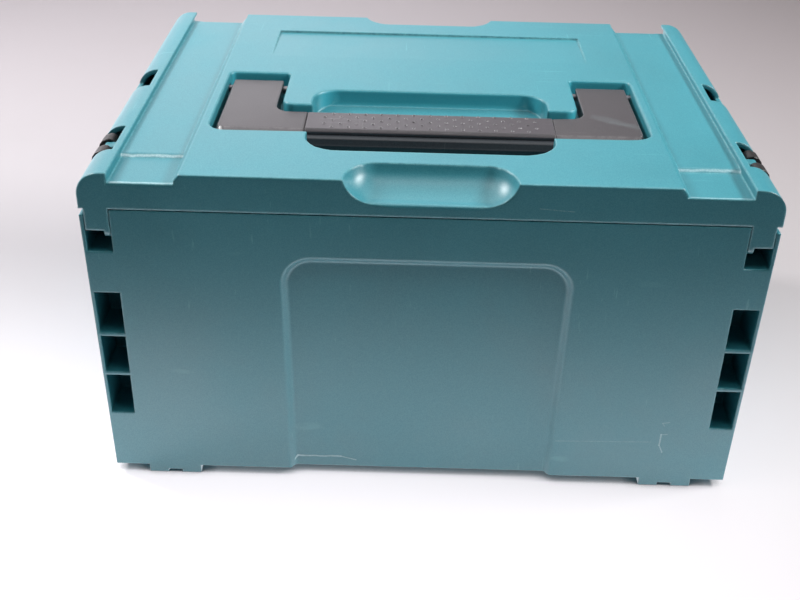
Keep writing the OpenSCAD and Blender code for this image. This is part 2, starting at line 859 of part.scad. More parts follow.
// Dark shell under the pad, a channel that the tongues of both arms sit in
module handle_grip_shell() {
    half = grip_x - seat_gap;
    y0 = pad_y0 - 0.3;
    y1 = bridge_y1;
    top = pad_bottom;
    low = grip_bottom;
    color(black)
    difference() {
        along_x(-half, half)
            polygon([[y0 + 0.3, top], [y0, top - 4], [y0, top - 8], [y0 + 3, low + 2], [y0 + 8, low],
                     [y1 - 10, low], [y1 - 3.5, low + 3], [y1, low + 8], [y1, top - 4.6],
                     [y1 - 0.6, top - 4], [y1 - 1.8, top - 1], [y1 - 2.4, top - 0.5], [y1 - 4.8, top]]);
        block([-grip_x, tongue_y0 - seat_gap, tongue_z0 - seat_gap],
              [grip_x, tongue_y1 + seat_gap, top + 1]);
        both_sides() at_screws() {
            cylinder(h = screw_l, r = screw_r + run_fit);
            translate([0, 0, -5]) cylinder(h = 5 + screw_head_h, r = screw_head_r + 0.2);
        }
    }
}

// Four screws that hold the arms in the grip shell from below
module handle_screws() {
    color(steel) both_sides() at_screws() difference() {
        union() {
            cylinder(h = screw_head_h - 0.02, r = screw_head_r);
            cylinder(h = screw_l, r = screw_r);
        }
        translate([0, 0, -1]) cylinder(h = 2.2, r = 1.4, $fn = 6);
    }
}

module handle_pivot_pin() {
    bar_x(pin_x0, pin_x1, pivot_y, pivot_z, pivot_pin_r);
}

module handle_pivot_pin_left() {
    color(steel) handle_pivot_pin();
}

module handle_pivot_pin_right() {
    color(steel) mirror([1, 0, 0]) handle_pivot_pin();
}

base_shell();
lid_shell();
hinge_pin_left();
hinge_pin_right();
latch_front_left();
latch_front_right();
latch_side_left();
latch_side_right();
latch_pin_front_left();
latch_pin_front_right();
latch_pin_side_left();
latch_pin_side_right();
handle_arm_left();
handle_arm_right();
handle_grip_pad();
handle_grip_shell();
handle_screws();
handle_pivot_pin_left();
handle_pivot_pin_right();
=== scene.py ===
"""Dresses a hard tool case: softened shells, grained plastic finishes, a studio and a camera."""

import logging
import math
from dataclasses import dataclass, field, replace
from enum import Enum
from typing import Callable, Optional

import bpy
import bmesh
from mathutils import Matrix, Vector


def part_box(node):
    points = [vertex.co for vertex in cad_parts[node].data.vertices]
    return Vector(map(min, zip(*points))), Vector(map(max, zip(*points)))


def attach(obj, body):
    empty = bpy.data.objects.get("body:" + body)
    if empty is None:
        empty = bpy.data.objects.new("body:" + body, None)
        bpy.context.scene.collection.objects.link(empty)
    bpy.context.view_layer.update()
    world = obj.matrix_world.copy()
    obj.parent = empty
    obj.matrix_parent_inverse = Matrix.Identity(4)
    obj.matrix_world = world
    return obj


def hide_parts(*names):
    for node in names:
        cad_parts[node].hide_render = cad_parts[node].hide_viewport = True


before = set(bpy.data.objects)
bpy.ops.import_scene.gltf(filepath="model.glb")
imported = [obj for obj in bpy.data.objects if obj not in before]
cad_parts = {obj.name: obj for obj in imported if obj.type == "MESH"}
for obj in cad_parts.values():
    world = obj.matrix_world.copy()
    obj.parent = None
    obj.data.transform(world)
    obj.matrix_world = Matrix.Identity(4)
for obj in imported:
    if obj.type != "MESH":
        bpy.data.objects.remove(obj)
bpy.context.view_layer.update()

logging.basicConfig(level=logging.INFO, format="%(message)s")
log = logging.getLogger("tool_case")

MM = 0.001
Point = tuple[float, float, float]
Colour = tuple[float, float, float]
ColourPair = tuple[Colour, Colour]

OUTSIDE = 400.0  # farther out than any part of the case, in millimetres

# How a shell is copied and softened.
MERGE_DISTANCE = 0.01 * MM  # corners closer than this become one
FLAT_DEGREES = 0.4  # facets that turn by less than this become one face
HEIGHT_MATCH = 0.05 * MM  # how near a corner is to the height that is let down
LARGEST_RIM_FACET = 400 * MM * MM  # area up to which a facet under a rim is joined
SHARE_OF_ROOM = 0.4  # how much of a face the softening of one edge may take
UNSOFTENED = 0.001 * MM  # a width too small to fold anything
EXTRA_SMOOTH_DEGREES = 12  # added to the sharp angle where the shading is made smooth

# How folds in the softened faces are eased.
EASING_PASSES = (4.0, 8.0, 16.0, 40.0, 120.0, 400.0, 400.0, 400.0)  # longest edge, millimetres
SHORT_EDGE = 16.0  # passes beyond this leave alone what folds without any softening too
SAME_SPOT = 1.2 * MM  # how near two folds are that are taken for the same one
REACH_IN_WIDTHS = 1.8  # how far a fold acts on edges, in widths of the widest softening
SMALLEST_FOLD = 0.04 * MM * MM  # twice the area of the smallest triangle that counts
LEAST_FACING = 0.3  # a triangle that agrees less than this with its face's normal is a fold
LEAST_WEIGHT = 0.05  # a weight below this becomes nought


# ------------------------------------------------------------------ shared tools


class Side(Enum):
    """The two mirror-image sides of the case."""

    LEFT = 1
    RIGHT = -1

    @property
    def word(self) -> str:
        """The side's name as it stands in node names."""
        return self.name.lower()


def linear(red: int, green: int, blue: int) -> tuple[float, float, float, float]:
    """Turns a colour as seen on a screen into the shader's linear values.

    Args:
        red: Red, from 0 to 255.
        green: Green, from 0 to 255.
        blue: Blue, from 0 to 255.

    Returns:
        The linear colour with full alpha.
    """

    def channel(value: float) -> float:
        """One channel from display to linear."""
        share = value / 255
        return share / 12.92 if share <= 0.04045 else ((share + 0.055) / 1.055) ** 2.4

    return (channel(red), channel(green), channel(blue), 1.0)


def select_only(piece: bpy.types.Object) -> None:
    """Deselects everything and makes one object selected and active.

    Args:
        piece: The object to work on next.
    """
    bpy.ops.object.select_all(action="DESELECT")
    piece.select_set(True)
    bpy.context.view_layer.objects.active = piece


@dataclass(frozen=True)
class EdgeRule:
    """Gives the edges inside a box, and inside its mirror image in X, their own softening.

    Args:
        low: Lowest corner of the box, in millimetres.
        high: Highest corner of the box, in millimetres.
        width: Width of the softened edge, in millimetres.
        hollow_too: Whether inner corners in the box are softened too.
    """

    low: Point
    high: Point
    width: float
    hollow_too: bool = False

    def holds(self, point: Vector, hollow: bool) -> bool:
        """Says whether an edge belongs to the rule.

        Args:
            point: The middle of the edge, in metres.
            hollow: Whether it is an inner corner.

        Returns:
            True if it does.
        """
        if hollow and not self.hollow_too:
            return False
        x, y, z = (value / MM for value in point)
        return all(lo <= value <= hi for lo, value, hi in zip(self.low, (abs(x), y, z), self.high))


def front_and_back(low: Point, high: Point, width: float,
                   hollow_too: bool = False) -> list[EdgeRule]:
    """Makes a rule for a box at the back of the case and one for its mirror image in front.

    Args:
        low: Lowest corner of the box at the back, in millimetres.
        high: Highest corner of the box at the back, in millimetres.
        width: Width of the softened edge, in millimetres.
        hollow_too: Whether inner corners in the boxes are softened too.

    Returns:
        The two rules.
    """
    return [EdgeRule(low, high, width, hollow_too),
            EdgeRule((low[0], -high[1], low[2]), (high[0], -low[1], high[2]), width, hollow_too)]


@dataclass
class DressedShell:
    """A moulded piece that stands for a CAD node, with its sharp edges softened.

    Args:
        node: Name of the CAD node that it stands for.
        piece_name: Name of the new piece.
        body: Body that it rides on.
        slot: Name of a material slot; not used.
        edge_width: Softening of an edge that no rule names, in millimetres.
        sharp_degrees: Smallest angle between two faces that counts as an edge.
        segments: Faces across a softened edge.
        ease_folds: Whether edges next to folds in the softened shape are made crisper.
        bowls: Boxes with curved walls whose rims need room for a wide softening.
        let_down: Height of a lower edge and how far it is let down, in millimetres.
        rules: Rules for edges that are softer or crisper than the rest.
    """

    node: str
    piece_name: str
    body: str
    slot: str
    edge_width: float = 0.6
    sharp_degrees: float = 28.0
    segments: int = 2
    ease_folds: bool = False
    bowls: tuple[tuple[Point, Point], ...] = ()
    let_down: Optional[tuple[float, float]] = None
    rules: list[EdgeRule] = field(default_factory=list)

    def build(self, finish: bpy.types.Material) -> bpy.types.Object:
        """Makes the softened piece and hides the CAD node behind it.

        Args:
            finish: Material of the whole piece.

        Returns:
            The finished piece.
        """
        piece = self.copy_node()
        self.join_rim_facets(piece)
        self.weigh_edges(piece)
        self.soften(piece)
        piece.data.materials.clear()
        piece.data.materials.append(finish)
        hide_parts(self.node)
        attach(piece, self.body)
        log.info("%s: %d faces", piece.name, len(piece.data.polygons))
        return piece

    def copy_node(self) -> bpy.types.Object:
        """Copies the node's mesh into a new object with whole flat faces."""
        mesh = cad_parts[self.node].data.copy()
        mesh.name = self.piece_name
        piece = bpy.data.objects.new(self.piece_name, mesh)
        bpy.context.scene.collection.objects.link(piece)
        select_only(piece)
        bpy.ops.object.mode_set(mode="EDIT")
        bpy.ops.mesh.select_all(action="SELECT")
        bpy.ops.mesh.customdata_custom_splitnormals_clear()
        bpy.ops.mesh.remove_doubles(threshold=MERGE_DISTANCE)
        bpy.ops.mesh.dissolve_limited(angle_limit=math.radians(FLAT_DEGREES))
        bpy.ops.object.mode_set(mode="OBJECT")
        if self.let_down:
            height, drop = self.let_down
            for vert in mesh.vertices:
                if abs(vert.co.z - height * MM) < HEIGHT_MATCH:
                    vert.co.z -= drop * MM
        return piece

    def join_rim_facets(self, piece: bpy.types.Object) -> None:
        """Joins the small facets under the rim of each bowl to the ones below them.

        Args:
            piece: The piece, not yet softened.
        """
        work = bmesh.new()
        work.from_mesh(piece.data)
        limit = math.radians(self.sharp_degrees)
        for low, high in self.bowls:
            inside = EdgeRule(low, high, 0.0, hollow_too=True)
            rim = {vert for edge in work.edges if edge.calc_face_angle(0.0) > limit
                   for vert in edge.verts}
            first = {face for vert in rim for face in vert.link_faces
                     if inside.holds(face.calc_center_median(), False)
                     and face.calc_area() < LARGEST_RIM_FACET}
            below = [edge for edge in work.edges
                     if any(face in first for face in edge.link_faces)
                     and not any(vert in rim for vert in edge.verts)
                     and edge.calc_face_angle(1.0) < limit]
            bmesh.ops.dissolve_edges(work, edges=below, use_verts=False)
        work.to_mesh(piece.data)
        work.free()

    @property
    def widest(self) -> float:
        """Width of the widest softening, in millimetres."""
        return max([self.edge_width] + [rule.width for rule in self.rules])

    def weigh_edges(self, piece: bpy.types.Object) -> None:
        """Writes the width of each softened edge as a bevel weight.

        Args:
            piece: The piece, not yet softened.
        """
        work = bmesh.new()
        work.from_mesh(piece.data)
        layer = work.edges.layers.float.new("bevel_weight_edge")
        limit = math.radians(self.sharp_degrees)
        for edge in work.edges:
            if len(edge.link_faces) != 2 or edge.calc_face_angle(0.0) < limit:
                continue
            middle = (edge.verts[0].co + edge.verts[1].co) / 2
            hollow = not edge.is_convex
            found = [rule.width for rule in self.rules if rule.holds(middle, hollow)]
            width = found[0] if found else 0.0 if hollow else self.edge_width
            room = min(depth_across(face, edge) for face in edge.link_faces) / MM
            edge[layer] = min(width, SHARE_OF_ROOM * room) / self.widest
        work.to_mesh(piece.data)
        work.free()

    def soften(self, piece: bpy.types.Object) -> None:
        """Rounds the weighted edges and evens the shading.

        Args:
            piece: The piece with its bevel weights.
        """
        select_only(piece)
        bevel = piece.modifiers.new("soft edges", "BEVEL")
        bevel.limit_method = "WEIGHT"
        bevel.offset_type = "OFFSET"
        bevel.width = self.widest * MM
        bevel.segments = self.segments
        bevel.use_clamp_overlap = False
        bevel.loop_slide = False
        if self.ease_folds:
            self.ease(piece, bevel)
        bpy.ops.object.modifier_apply(modifier=bevel.name)
        bpy.ops.object.shade_smooth_by_angle(
            angle=math.radians(self.sharp_degrees + EXTRA_SMOOTH_DEGREES))
        even = piece.modifiers.new("even shading", "WEIGHTED_NORMAL")
        even.keep_sharp = True
        bpy.ops.object.modifier_apply(modifier=even.name)

    def ease(self, piece: bpy.types.Object, bevel: bpy.types.BevelModifier) -> None:
        """Makes edges next to folds crisper: short edges first, then longer ones.

        Args:
            piece: The piece with its bevel weights.
            bevel: Its live Bevel modifier.
        """
        bevel.width = UNSOFTENED
        known = folded_spots(piece)
        bevel.width = self.widest * MM
        for longest in EASING_PASSES:
            spots = folded_spots(piece)
            if longest > SHORT_EDGE:
                spots = [spot for spot in spots
                         if all((spot - other).length > SAME_SPOT for other in known)]
            if not spots:
                break
            weaken_edges(piece, spots, longest * MM, REACH_IN_WIDTHS * self.widest * MM)


def folded_spots(piece: bpy.types.Object) -> list[Vector]:
    """Finds where the softened faces of a piece would fold over themselves.

    Args:
        piece: The piece with its live Bevel modifier.

    Returns:
        Corners of the triangles that face the wrong way.
    """
    shaped = piece.evaluated_get(bpy.context.evaluated_depsgraph_get())
    mesh = shaped.to_mesh()
    mesh.calc_loop_triangles()
    spots: list[Vector] = []
    for triangle in mesh.loop_triangles:
        one, two, three = (mesh.vertices[index].co for index in triangle.vertices)
        across = (two - one).cross(three - one)
        outward = mesh.polygons[triangle.polygon_index].normal
        if across.length > SMALLEST_FOLD and across.normalized().dot(outward) < LEAST_FACING:
            spots.extend(corner.copy() for corner in (one, two, three))
    shaped.to_mesh_clear()
    return spots


def weaken_edges(piece: bpy.types.Object, spots: list[Vector], longest: float,
                 reach: float) -> None:
    """Halves the softening of the edges next to some spots.

    Args:
        piece: The piece with its bevel weights.
        spots: The places.
        longest: Length up to which an edge is weakened, in metres.
        reach: Distance up to which an edge counts as next to a spot, in metres.
    """
    weights = piece.data.attributes["bevel_weight_edge"].data
    for edge in piece.data.edges:
        start, end = (piece.data.vertices[index].co for index in edge.vertices)
        along = end - start
        if weights[edge.index].value <= 0.0 or along.length > longest:
            continue
        for spot in spots:
            share = max(0.0, min(1.0, (spot - start).dot(along) / along.length_squared))
            if (start + along * share - spot).length < reach:
                value = weights[edge.index].value
                weights[edge.index].value = value / 2 if value > LEAST_WEIGHT else 0.0
                break


def depth_across(face: bmesh.types.BMFace, edge: bmesh.types.BMEdge) -> float:
    """Measures how far a face reaches away from one of its edges.

    Args:
        face: The face.
        edge: The edge.

    Returns:
        The largest distance of the face's corners from the edge's line, in metres.
    """
    start = edge.verts[0].co
    along = (edge.verts[1].co - start).normalized()
    return max((vert.co - start).cross(along).length for vert in face.verts)


# ------------------------------------------------------------------ node helpers


@dataclass
class Wiring:
    """Short ways to place and join nodes in one node tree.

    Args:
        tree: The tree of a material or a node group.
    """

    tree: bpy.types.NodeTree

    def add(self, kind: str, **settings: object) -> bpy.types.Node:
        """Adds a node and sets its properties.

        Args:
            kind: The node's type name.
            **settings: Properties of the node.

        Returns:
            The new node.
        """
        node = self.tree.nodes.new(kind)
        for name, value in settings.items():
            setattr(node, name, value)
        return node

    def feed(self, socket: bpy.types.NodeSocket, source: object) -> None:
        """Joins a source to a socket, or sets the socket's own value.

        Args:
            socket: The input socket.
            source: An output socket or a plain value.
        """
        if isinstance(source, bpy.types.NodeSocket):
            self.tree.links.new(source, socket)
        else:
            socket.default_value = source

    def math(self, what: str, *values: object, clamp: bool = False) -> bpy.types.NodeSocket:
        """Adds a Math node.

        Args:
            what: The operation.
            *values: Its inputs, as sockets or numbers.
            clamp: Whether the result is kept from 0 to 1.

        Returns:
            The result.
        """
        node = self.add("ShaderNodeMath", operation=what, use_clamp=clamp)
        for socket, value in zip(node.inputs, values):
            self.feed(socket, value)
        return node.outputs[0]

    def vector(self, what: str, *values: object) -> bpy.types.Node:
        """Adds a Vector Math node.

        Args:
            what: The operation.
            *values: Its inputs, as sockets or vectors.

        Returns:
            The node.
        """
        node = self.add("ShaderNodeVectorMath", operation=what)
        for socket, value in zip(node.inputs, values):
            self.feed(socket, value)
        return node

    def ramp(self, value: object, low: float, high: float, start: float = 0.0,
             end: float = 1.0) -> bpy.types.NodeSocket:
        """Adds a smooth Map Range node.

        Args:
            value: The input.
            low: Input that gives start.
            high: Input that gives end.
            start: Lowest result.
            end: Highest result.

        Returns:
            The result.
        """
        node = self.add("ShaderNodeMapRange", interpolation_type="SMOOTHSTEP")
        for name, given in (("Value", value), ("From Min", low), ("From Max", high),
                            ("To Min", start), ("To Max", end)):
            self.feed(node.inputs[name], given)
        return node.outputs["Result"]

    def mix(self, share: object, first: object, second: object) -> bpy.types.NodeSocket:
        """Adds a colour Mix node.

        Args:
            share: How much of the second colour shows.
            first: First colour.
            second: Second colour.

        Returns:
            The mixed colour.
        """
        node = self.add("ShaderNodeMix", data_type="RGBA")
        colours = [socket for socket in node.inputs if socket.type == "RGBA"]
        self.feed(node.inputs["Factor"], share)
        self.feed(colours[0], first)
        self.feed(colours[1], second)
        return next(socket for socket in node.outputs if socket.type == "RGBA")

    def noise(self, where: object, scale: object, detail: float = 2.0, rough: float = 0.5,
              distortion: float = 0.0) -> bpy.types.NodeSocket:
        """Adds a Noise Texture.

        Args:
            where: Coordinates.
            scale: Scale of the noise, in cells per metre.
            detail: Octaves.
            rough: Strength of the finer octaves.
            distortion: How far the pattern is bent.

        Returns:
            The noise value.
        """
        node = self.add("ShaderNodeTexNoise")
        for name, given in (("Vector", where), ("Scale", scale), ("Detail", detail),
                            ("Roughness", rough), ("Distortion", distortion)):
            self.feed(node.inputs[name], given)
        return node.outputs["Fac"]

    def use(self, group: bpy.types.NodeTree, **values: object) -> bpy.types.Node:
        """Places a node group.

        Args:
            group: The group.
            **values: Its inputs by name, with _ for a space.

        Returns:
            The group node.
        """
        node = self.add("ShaderNodeGroup", node_tree=group)
        for name, value in values.items():
            self.feed(node.inputs[name.replace("_", " ")], value)
        return node


def new_group(name: str, inputs: dict[str, object], outputs: list[str],
              directions: tuple[str, ...] = ()
              ) -> tuple[bpy.types.NodeTree, Wiring, bpy.types.Node, bpy.types.Node]:
    """Makes an empty shader node group with its sockets.

    Args:
        name: Name of the group.
        inputs: Input names with their default numbers or vectors.
        outputs: Names of the number outputs.
        directions: Names of the vector outputs.

    Returns:
        The group, its wiring, and its input and output nodes.
    """
    group = bpy.data.node_groups.new(name, "ShaderNodeTree")
    for label, value in inputs.items():
        kind = "NodeSocketVector" if isinstance(value, tuple) else "NodeSocketFloat"
        socket = group.interface.new_socket(label, in_out="INPUT", socket_type=kind)
        socket.default_value = value
    for label in outputs:
        group.interface.new_socket(label, in_out="OUTPUT", socket_type="NodeSocketFloat")
    for label in directions:
        group.interface.new_socket(label, in_out="OUTPUT", socket_type="NodeSocketVector")
    wires = Wiring(group)
    return group, wires, wires.add("NodeGroupInput"), wires.add("NodeGroupOutput")


# ------------------------------------------------------------------ shared effects


@dataclass
class Effects:
    """Node groups that several finishes share, each built once.

    Args:
        grain: Pebbled grain.
        clouds: Slow change over a surface.
        hairlines: Fine scratches.
        stroke: One straight stroke, used for scuffs and for painted highlights along rims.
        edge_rub_and_glint: Rounded edges, with a mask of their lightened parts: partly rubbing and
            partly painted highlight.
        grain_fineness: Scale of the finer grain against the pebbles.
        grain_shares: Strength of the pebbles and of the finer grain.
        cloud_range: Noise values between which a cloud fades in.
        scratches: Turn in radians and stretch of each set of fine scratches.
        scratch_range: Noise values between which a scratch fades in.
        patch_scale: Patches of scratches per metre.
        patch_range: Noise values between which such a patch fades in.
        wobble_scale: Bends of a stroke per metre.
        wobble_reach: How far a stroke is bent, in its own widths.
        stroke_core: Share of a stroke's width that is even.
        break_scale: Breaks in a stroke per metre.
        break_range: Noise values between which a break fades out.
        rub_and_glint_turn: How alike the rounded and the true normal are where the lightening of
            edges starts and is full.
        rub_and_glint_scale: Patches of that lightening per metre.
        rub_and_glint_range: Noise values between which such a patch fades in.
    """

    grain: bpy.types.NodeTree = field(init=False)
    clouds: bpy.types.NodeTree = field(init=False)
    hairlines: bpy.types.NodeTree = field(init=False)
    stroke: bpy.types.NodeTree = field(init=False)
    edge_rub_and_glint: bpy.types.NodeTree = field(init=False)
    grain_fineness: float = 1.7
    grain_shares: tuple[float, float] = (0.6, 0.7)
    cloud_range: tuple[float, float] = (0.3, 0.7)
    scratches: tuple[tuple[float, Point], ...] = (
        (0.35, (18.0, 620.0, 90.0)),
        (-0.9, (560.0, 22.0, 70.0)),
    )
    scratch_range: tuple[float, float] = (0.72, 0.78)
    patch_scale: float = 16.0
    patch_range: tuple[float, float] = (0.5, 0.66)
    wobble_scale: float = 140.0
    wobble_reach: float = 1.5
    stroke_core: float = 0.25
    break_scale: float = 900.0
    break_range: tuple[float, float] = (0.35, 0.62)
    rub_and_glint_turn: tuple[float, float] = (0.995, 0.86)
    rub_and_glint_scale: float = 240.0
    rub_and_glint_range: tuple[float, float] = (0.3, 0.62)

    def __post_init__(self) -> None:
        """Builds every group."""
        self.grain = self.build_grain()
        self.clouds = self.build_clouds()
        self.hairlines = self.build_hairlines()
        self.stroke = self.build_stroke()
        self.edge_rub_and_glint = self.build_edge_rub_and_glint()

    def build_grain(self) -> bpy.types.NodeTree:
        """Fine pebbled grain of an eroded mould, as a height."""
        group, wires, given, out = new_group(
            "mould grain", {"Where": (0.0, 0.0, 0.0), "Size": 0.0005}, ["Height"])
        scale = wires.math("DIVIDE", 1.0, given.outputs["Size"])
        pebbles = wires.add("ShaderNodeTexVoronoi", feature="SMOOTH_F1")
        wires.feed(pebbles.inputs["Vector"], given.outputs["Where"])
        wires.feed(pebbles.inputs["Scale"], scale)
        finer = wires.math("MULTIPLY", scale, self.grain_fineness)
        fine = wires.noise(given.outputs["Where"], finer, 3.0, 0.65)
        layers = (wires.math("MULTIPLY", layer, share)
                  for layer, share in zip((pebbles.outputs["Distance"], fine), self.grain_shares))
        wires.feed(out.inputs["Height"], wires.math("ADD", *layers))
        return group

    def build_clouds(self) -> bpy.types.NodeTree:
        """Slow, soft change over a surface, from 0 to 1."""
        group, wires, given, out = new_group(
            "slow clouds", {"Where": (0.0, 0.0, 0.0), "Size": 0.1}, ["Mask"])
        scale = wires.math("DIVIDE", 1.0, given.outputs["Size"])
        noise = wires.noise(given.outputs["Where"], scale, 4.0, 0.55, 0.3)
        wires.feed(out.inputs["Mask"], wires.ramp(noise, *self.cloud_range))
        return group

    def build_hairlines(self) -> bpy.types.NodeTree:
        """Sparse fine handling scratches in two directions, from 0 to 1."""
        group, wires, given, out = new_group(
            "hairline scratches", {"Where": (0.0, 0.0, 0.0), "Amount": 0.5}, ["Mask"])
        total: Optional[bpy.types.NodeSocket] = None
        for turn, stretch in self.scratches:
            mapping = wires.add("ShaderNodeMapping")
            wires.feed(mapping.inputs["Vector"], given.outputs["Where"])
            wires.feed(mapping.inputs["Rotation"], (turn, turn * 0.6, turn))
            wires.feed(mapping.inputs["Scale"], stretch)
            line = wires.noise(mapping.outputs[0], 1.0, 1.0, 0.4)
            line = wires.ramp(line, *self.scratch_range)
            total = line if total is None else wires.math("MAXIMUM", total, line)
        patch = wires.ramp(wires.noise(given.outputs["Where"], self.patch_scale, 2.0),
                           *self.patch_range)
        mask = wires.math("MULTIPLY", wires.math("MULTIPLY", total, patch), given.outputs["Amount"])
        wires.feed(out.inputs["Mask"], mask)
        return group

    def build_stroke(self) -> bpy.types.NodeTree:
        """One stroke along a straight line between two points, from 0 to 1, used for scuffs and for
        painted rim highlights.
        """
        group, wires, given, out = new_group(
            "single scuff",
            {"Where": (0.0, 0.0, 0.0), "Start": (0.0, 0.0, 0.0), "End": (0.0, 0.0, 0.1),
             "Width": 0.001, "Ragged": 0.5}, ["Mask"])
        wobble = wires.add("ShaderNodeTexNoise")
        wires.feed(wobble.inputs["Vector"], given.outputs["Where"])
        wires.feed(wobble.inputs["Scale"], self.wobble_scale)
        shift = wires.vector("SCALE", wires.vector("SUBTRACT", wobble.outputs["Color"],
                                                   (0.5, 0.5, 0.5)).outputs[0])
        wires.feed(shift.inputs["Scale"],
                   wires.math("MULTIPLY", given.outputs["Width"], self.wobble_reach))
        place = wires.vector("ADD", given.outputs["Where"], shift.outputs[0]).outputs[0]
        along = wires.vector("SUBTRACT", given.outputs["End"], given.outputs["Start"]).outputs[0]
        away = wires.vector("SUBTRACT", place, given.outputs["Start"]).outputs[0]
        length = wires.vector("DOT_PRODUCT", along, along).outputs["Value"]
        share = wires.math("DIVIDE", wires.vector("DOT_PRODUCT", away, along).outputs["Value"],
                           length, clamp=True)
        foot = wires.vector("SCALE", along)
        wires.feed(foot.inputs["Scale"], share)
        gap = wires.vector("LENGTH", wires.vector("SUBTRACT", away, foot.outputs[0]).outputs[0])
        near = wires.math("DIVIDE", gap.outputs["Value"], given.outputs["Width"])
        core = wires.ramp(near, self.stroke_core, 1.0, 1.0, 0.0)
        broken = wires.ramp(wires.noise(given.outputs["Where"], self.break_scale, 3.0, 0.6),
                            *self.break_range)
        keep = wires.math("SUBTRACT", 1.0, wires.math("MULTIPLY", given.outputs["Ragged"],
                                                      wires.math("SUBTRACT", 1.0, broken)))
        wires.feed(out.inputs["Mask"], wires.math("MULTIPLY", core, keep))
        return group

    def build_edge_rub_and_glint(self) -> bpy.types.NodeTree:
        """Rounded edges as a normal, and as a mask from 0 to 1 the parts that are lightened: partly
        rubbed, partly a painted highlight on the edges.
        """
        group, wires, given, out = new_group(
            "edge rub", {"Where": (0.0, 0.0, 0.0), "Radius": 0.0015}, ["Mask"], ("Normal",))
        round_off = wires.add("ShaderNodeBevel", samples=6)
        wires.feed(round_off.inputs["Radius"], given.outputs["Radius"])
        true = wires.add("ShaderNodeNewGeometry")
        same = wires.vector("DOT_PRODUCT", round_off.outputs[0], true.outputs["True Normal"])
        turned = wires.ramp(same.outputs["Value"], *self.rub_and_glint_turn)
        patch = wires.ramp(wires.noise(given.outputs["Where"], self.rub_and_glint_scale, 4.0, 0.65),
                           *self.rub_and_glint_range)
        wires.feed(out.inputs["Mask"], wires.math("MULTIPLY", turned, patch))
        wires.feed(out.inputs["Normal"], round_off.outputs[0])
        return group


# ------------------------------------------------------------------ finishes


@dataclass(frozen=True)
class ScuffAndGlint:
    """A straight lightened stroke on a surface, used for real scuffs and for painted highlights
    along rims.

    Args:
        start: One end, in millimetres.
        end: The other end, in millimetres.
        width: Half width, in millimetres.
        strength: How much it lightens the plastic.
        ragged: How broken up it is, from 0 to 1.
    """

    start: Point
    end: Point
    width: float
    strength: float = 0.7
    ragged: float = 0.6


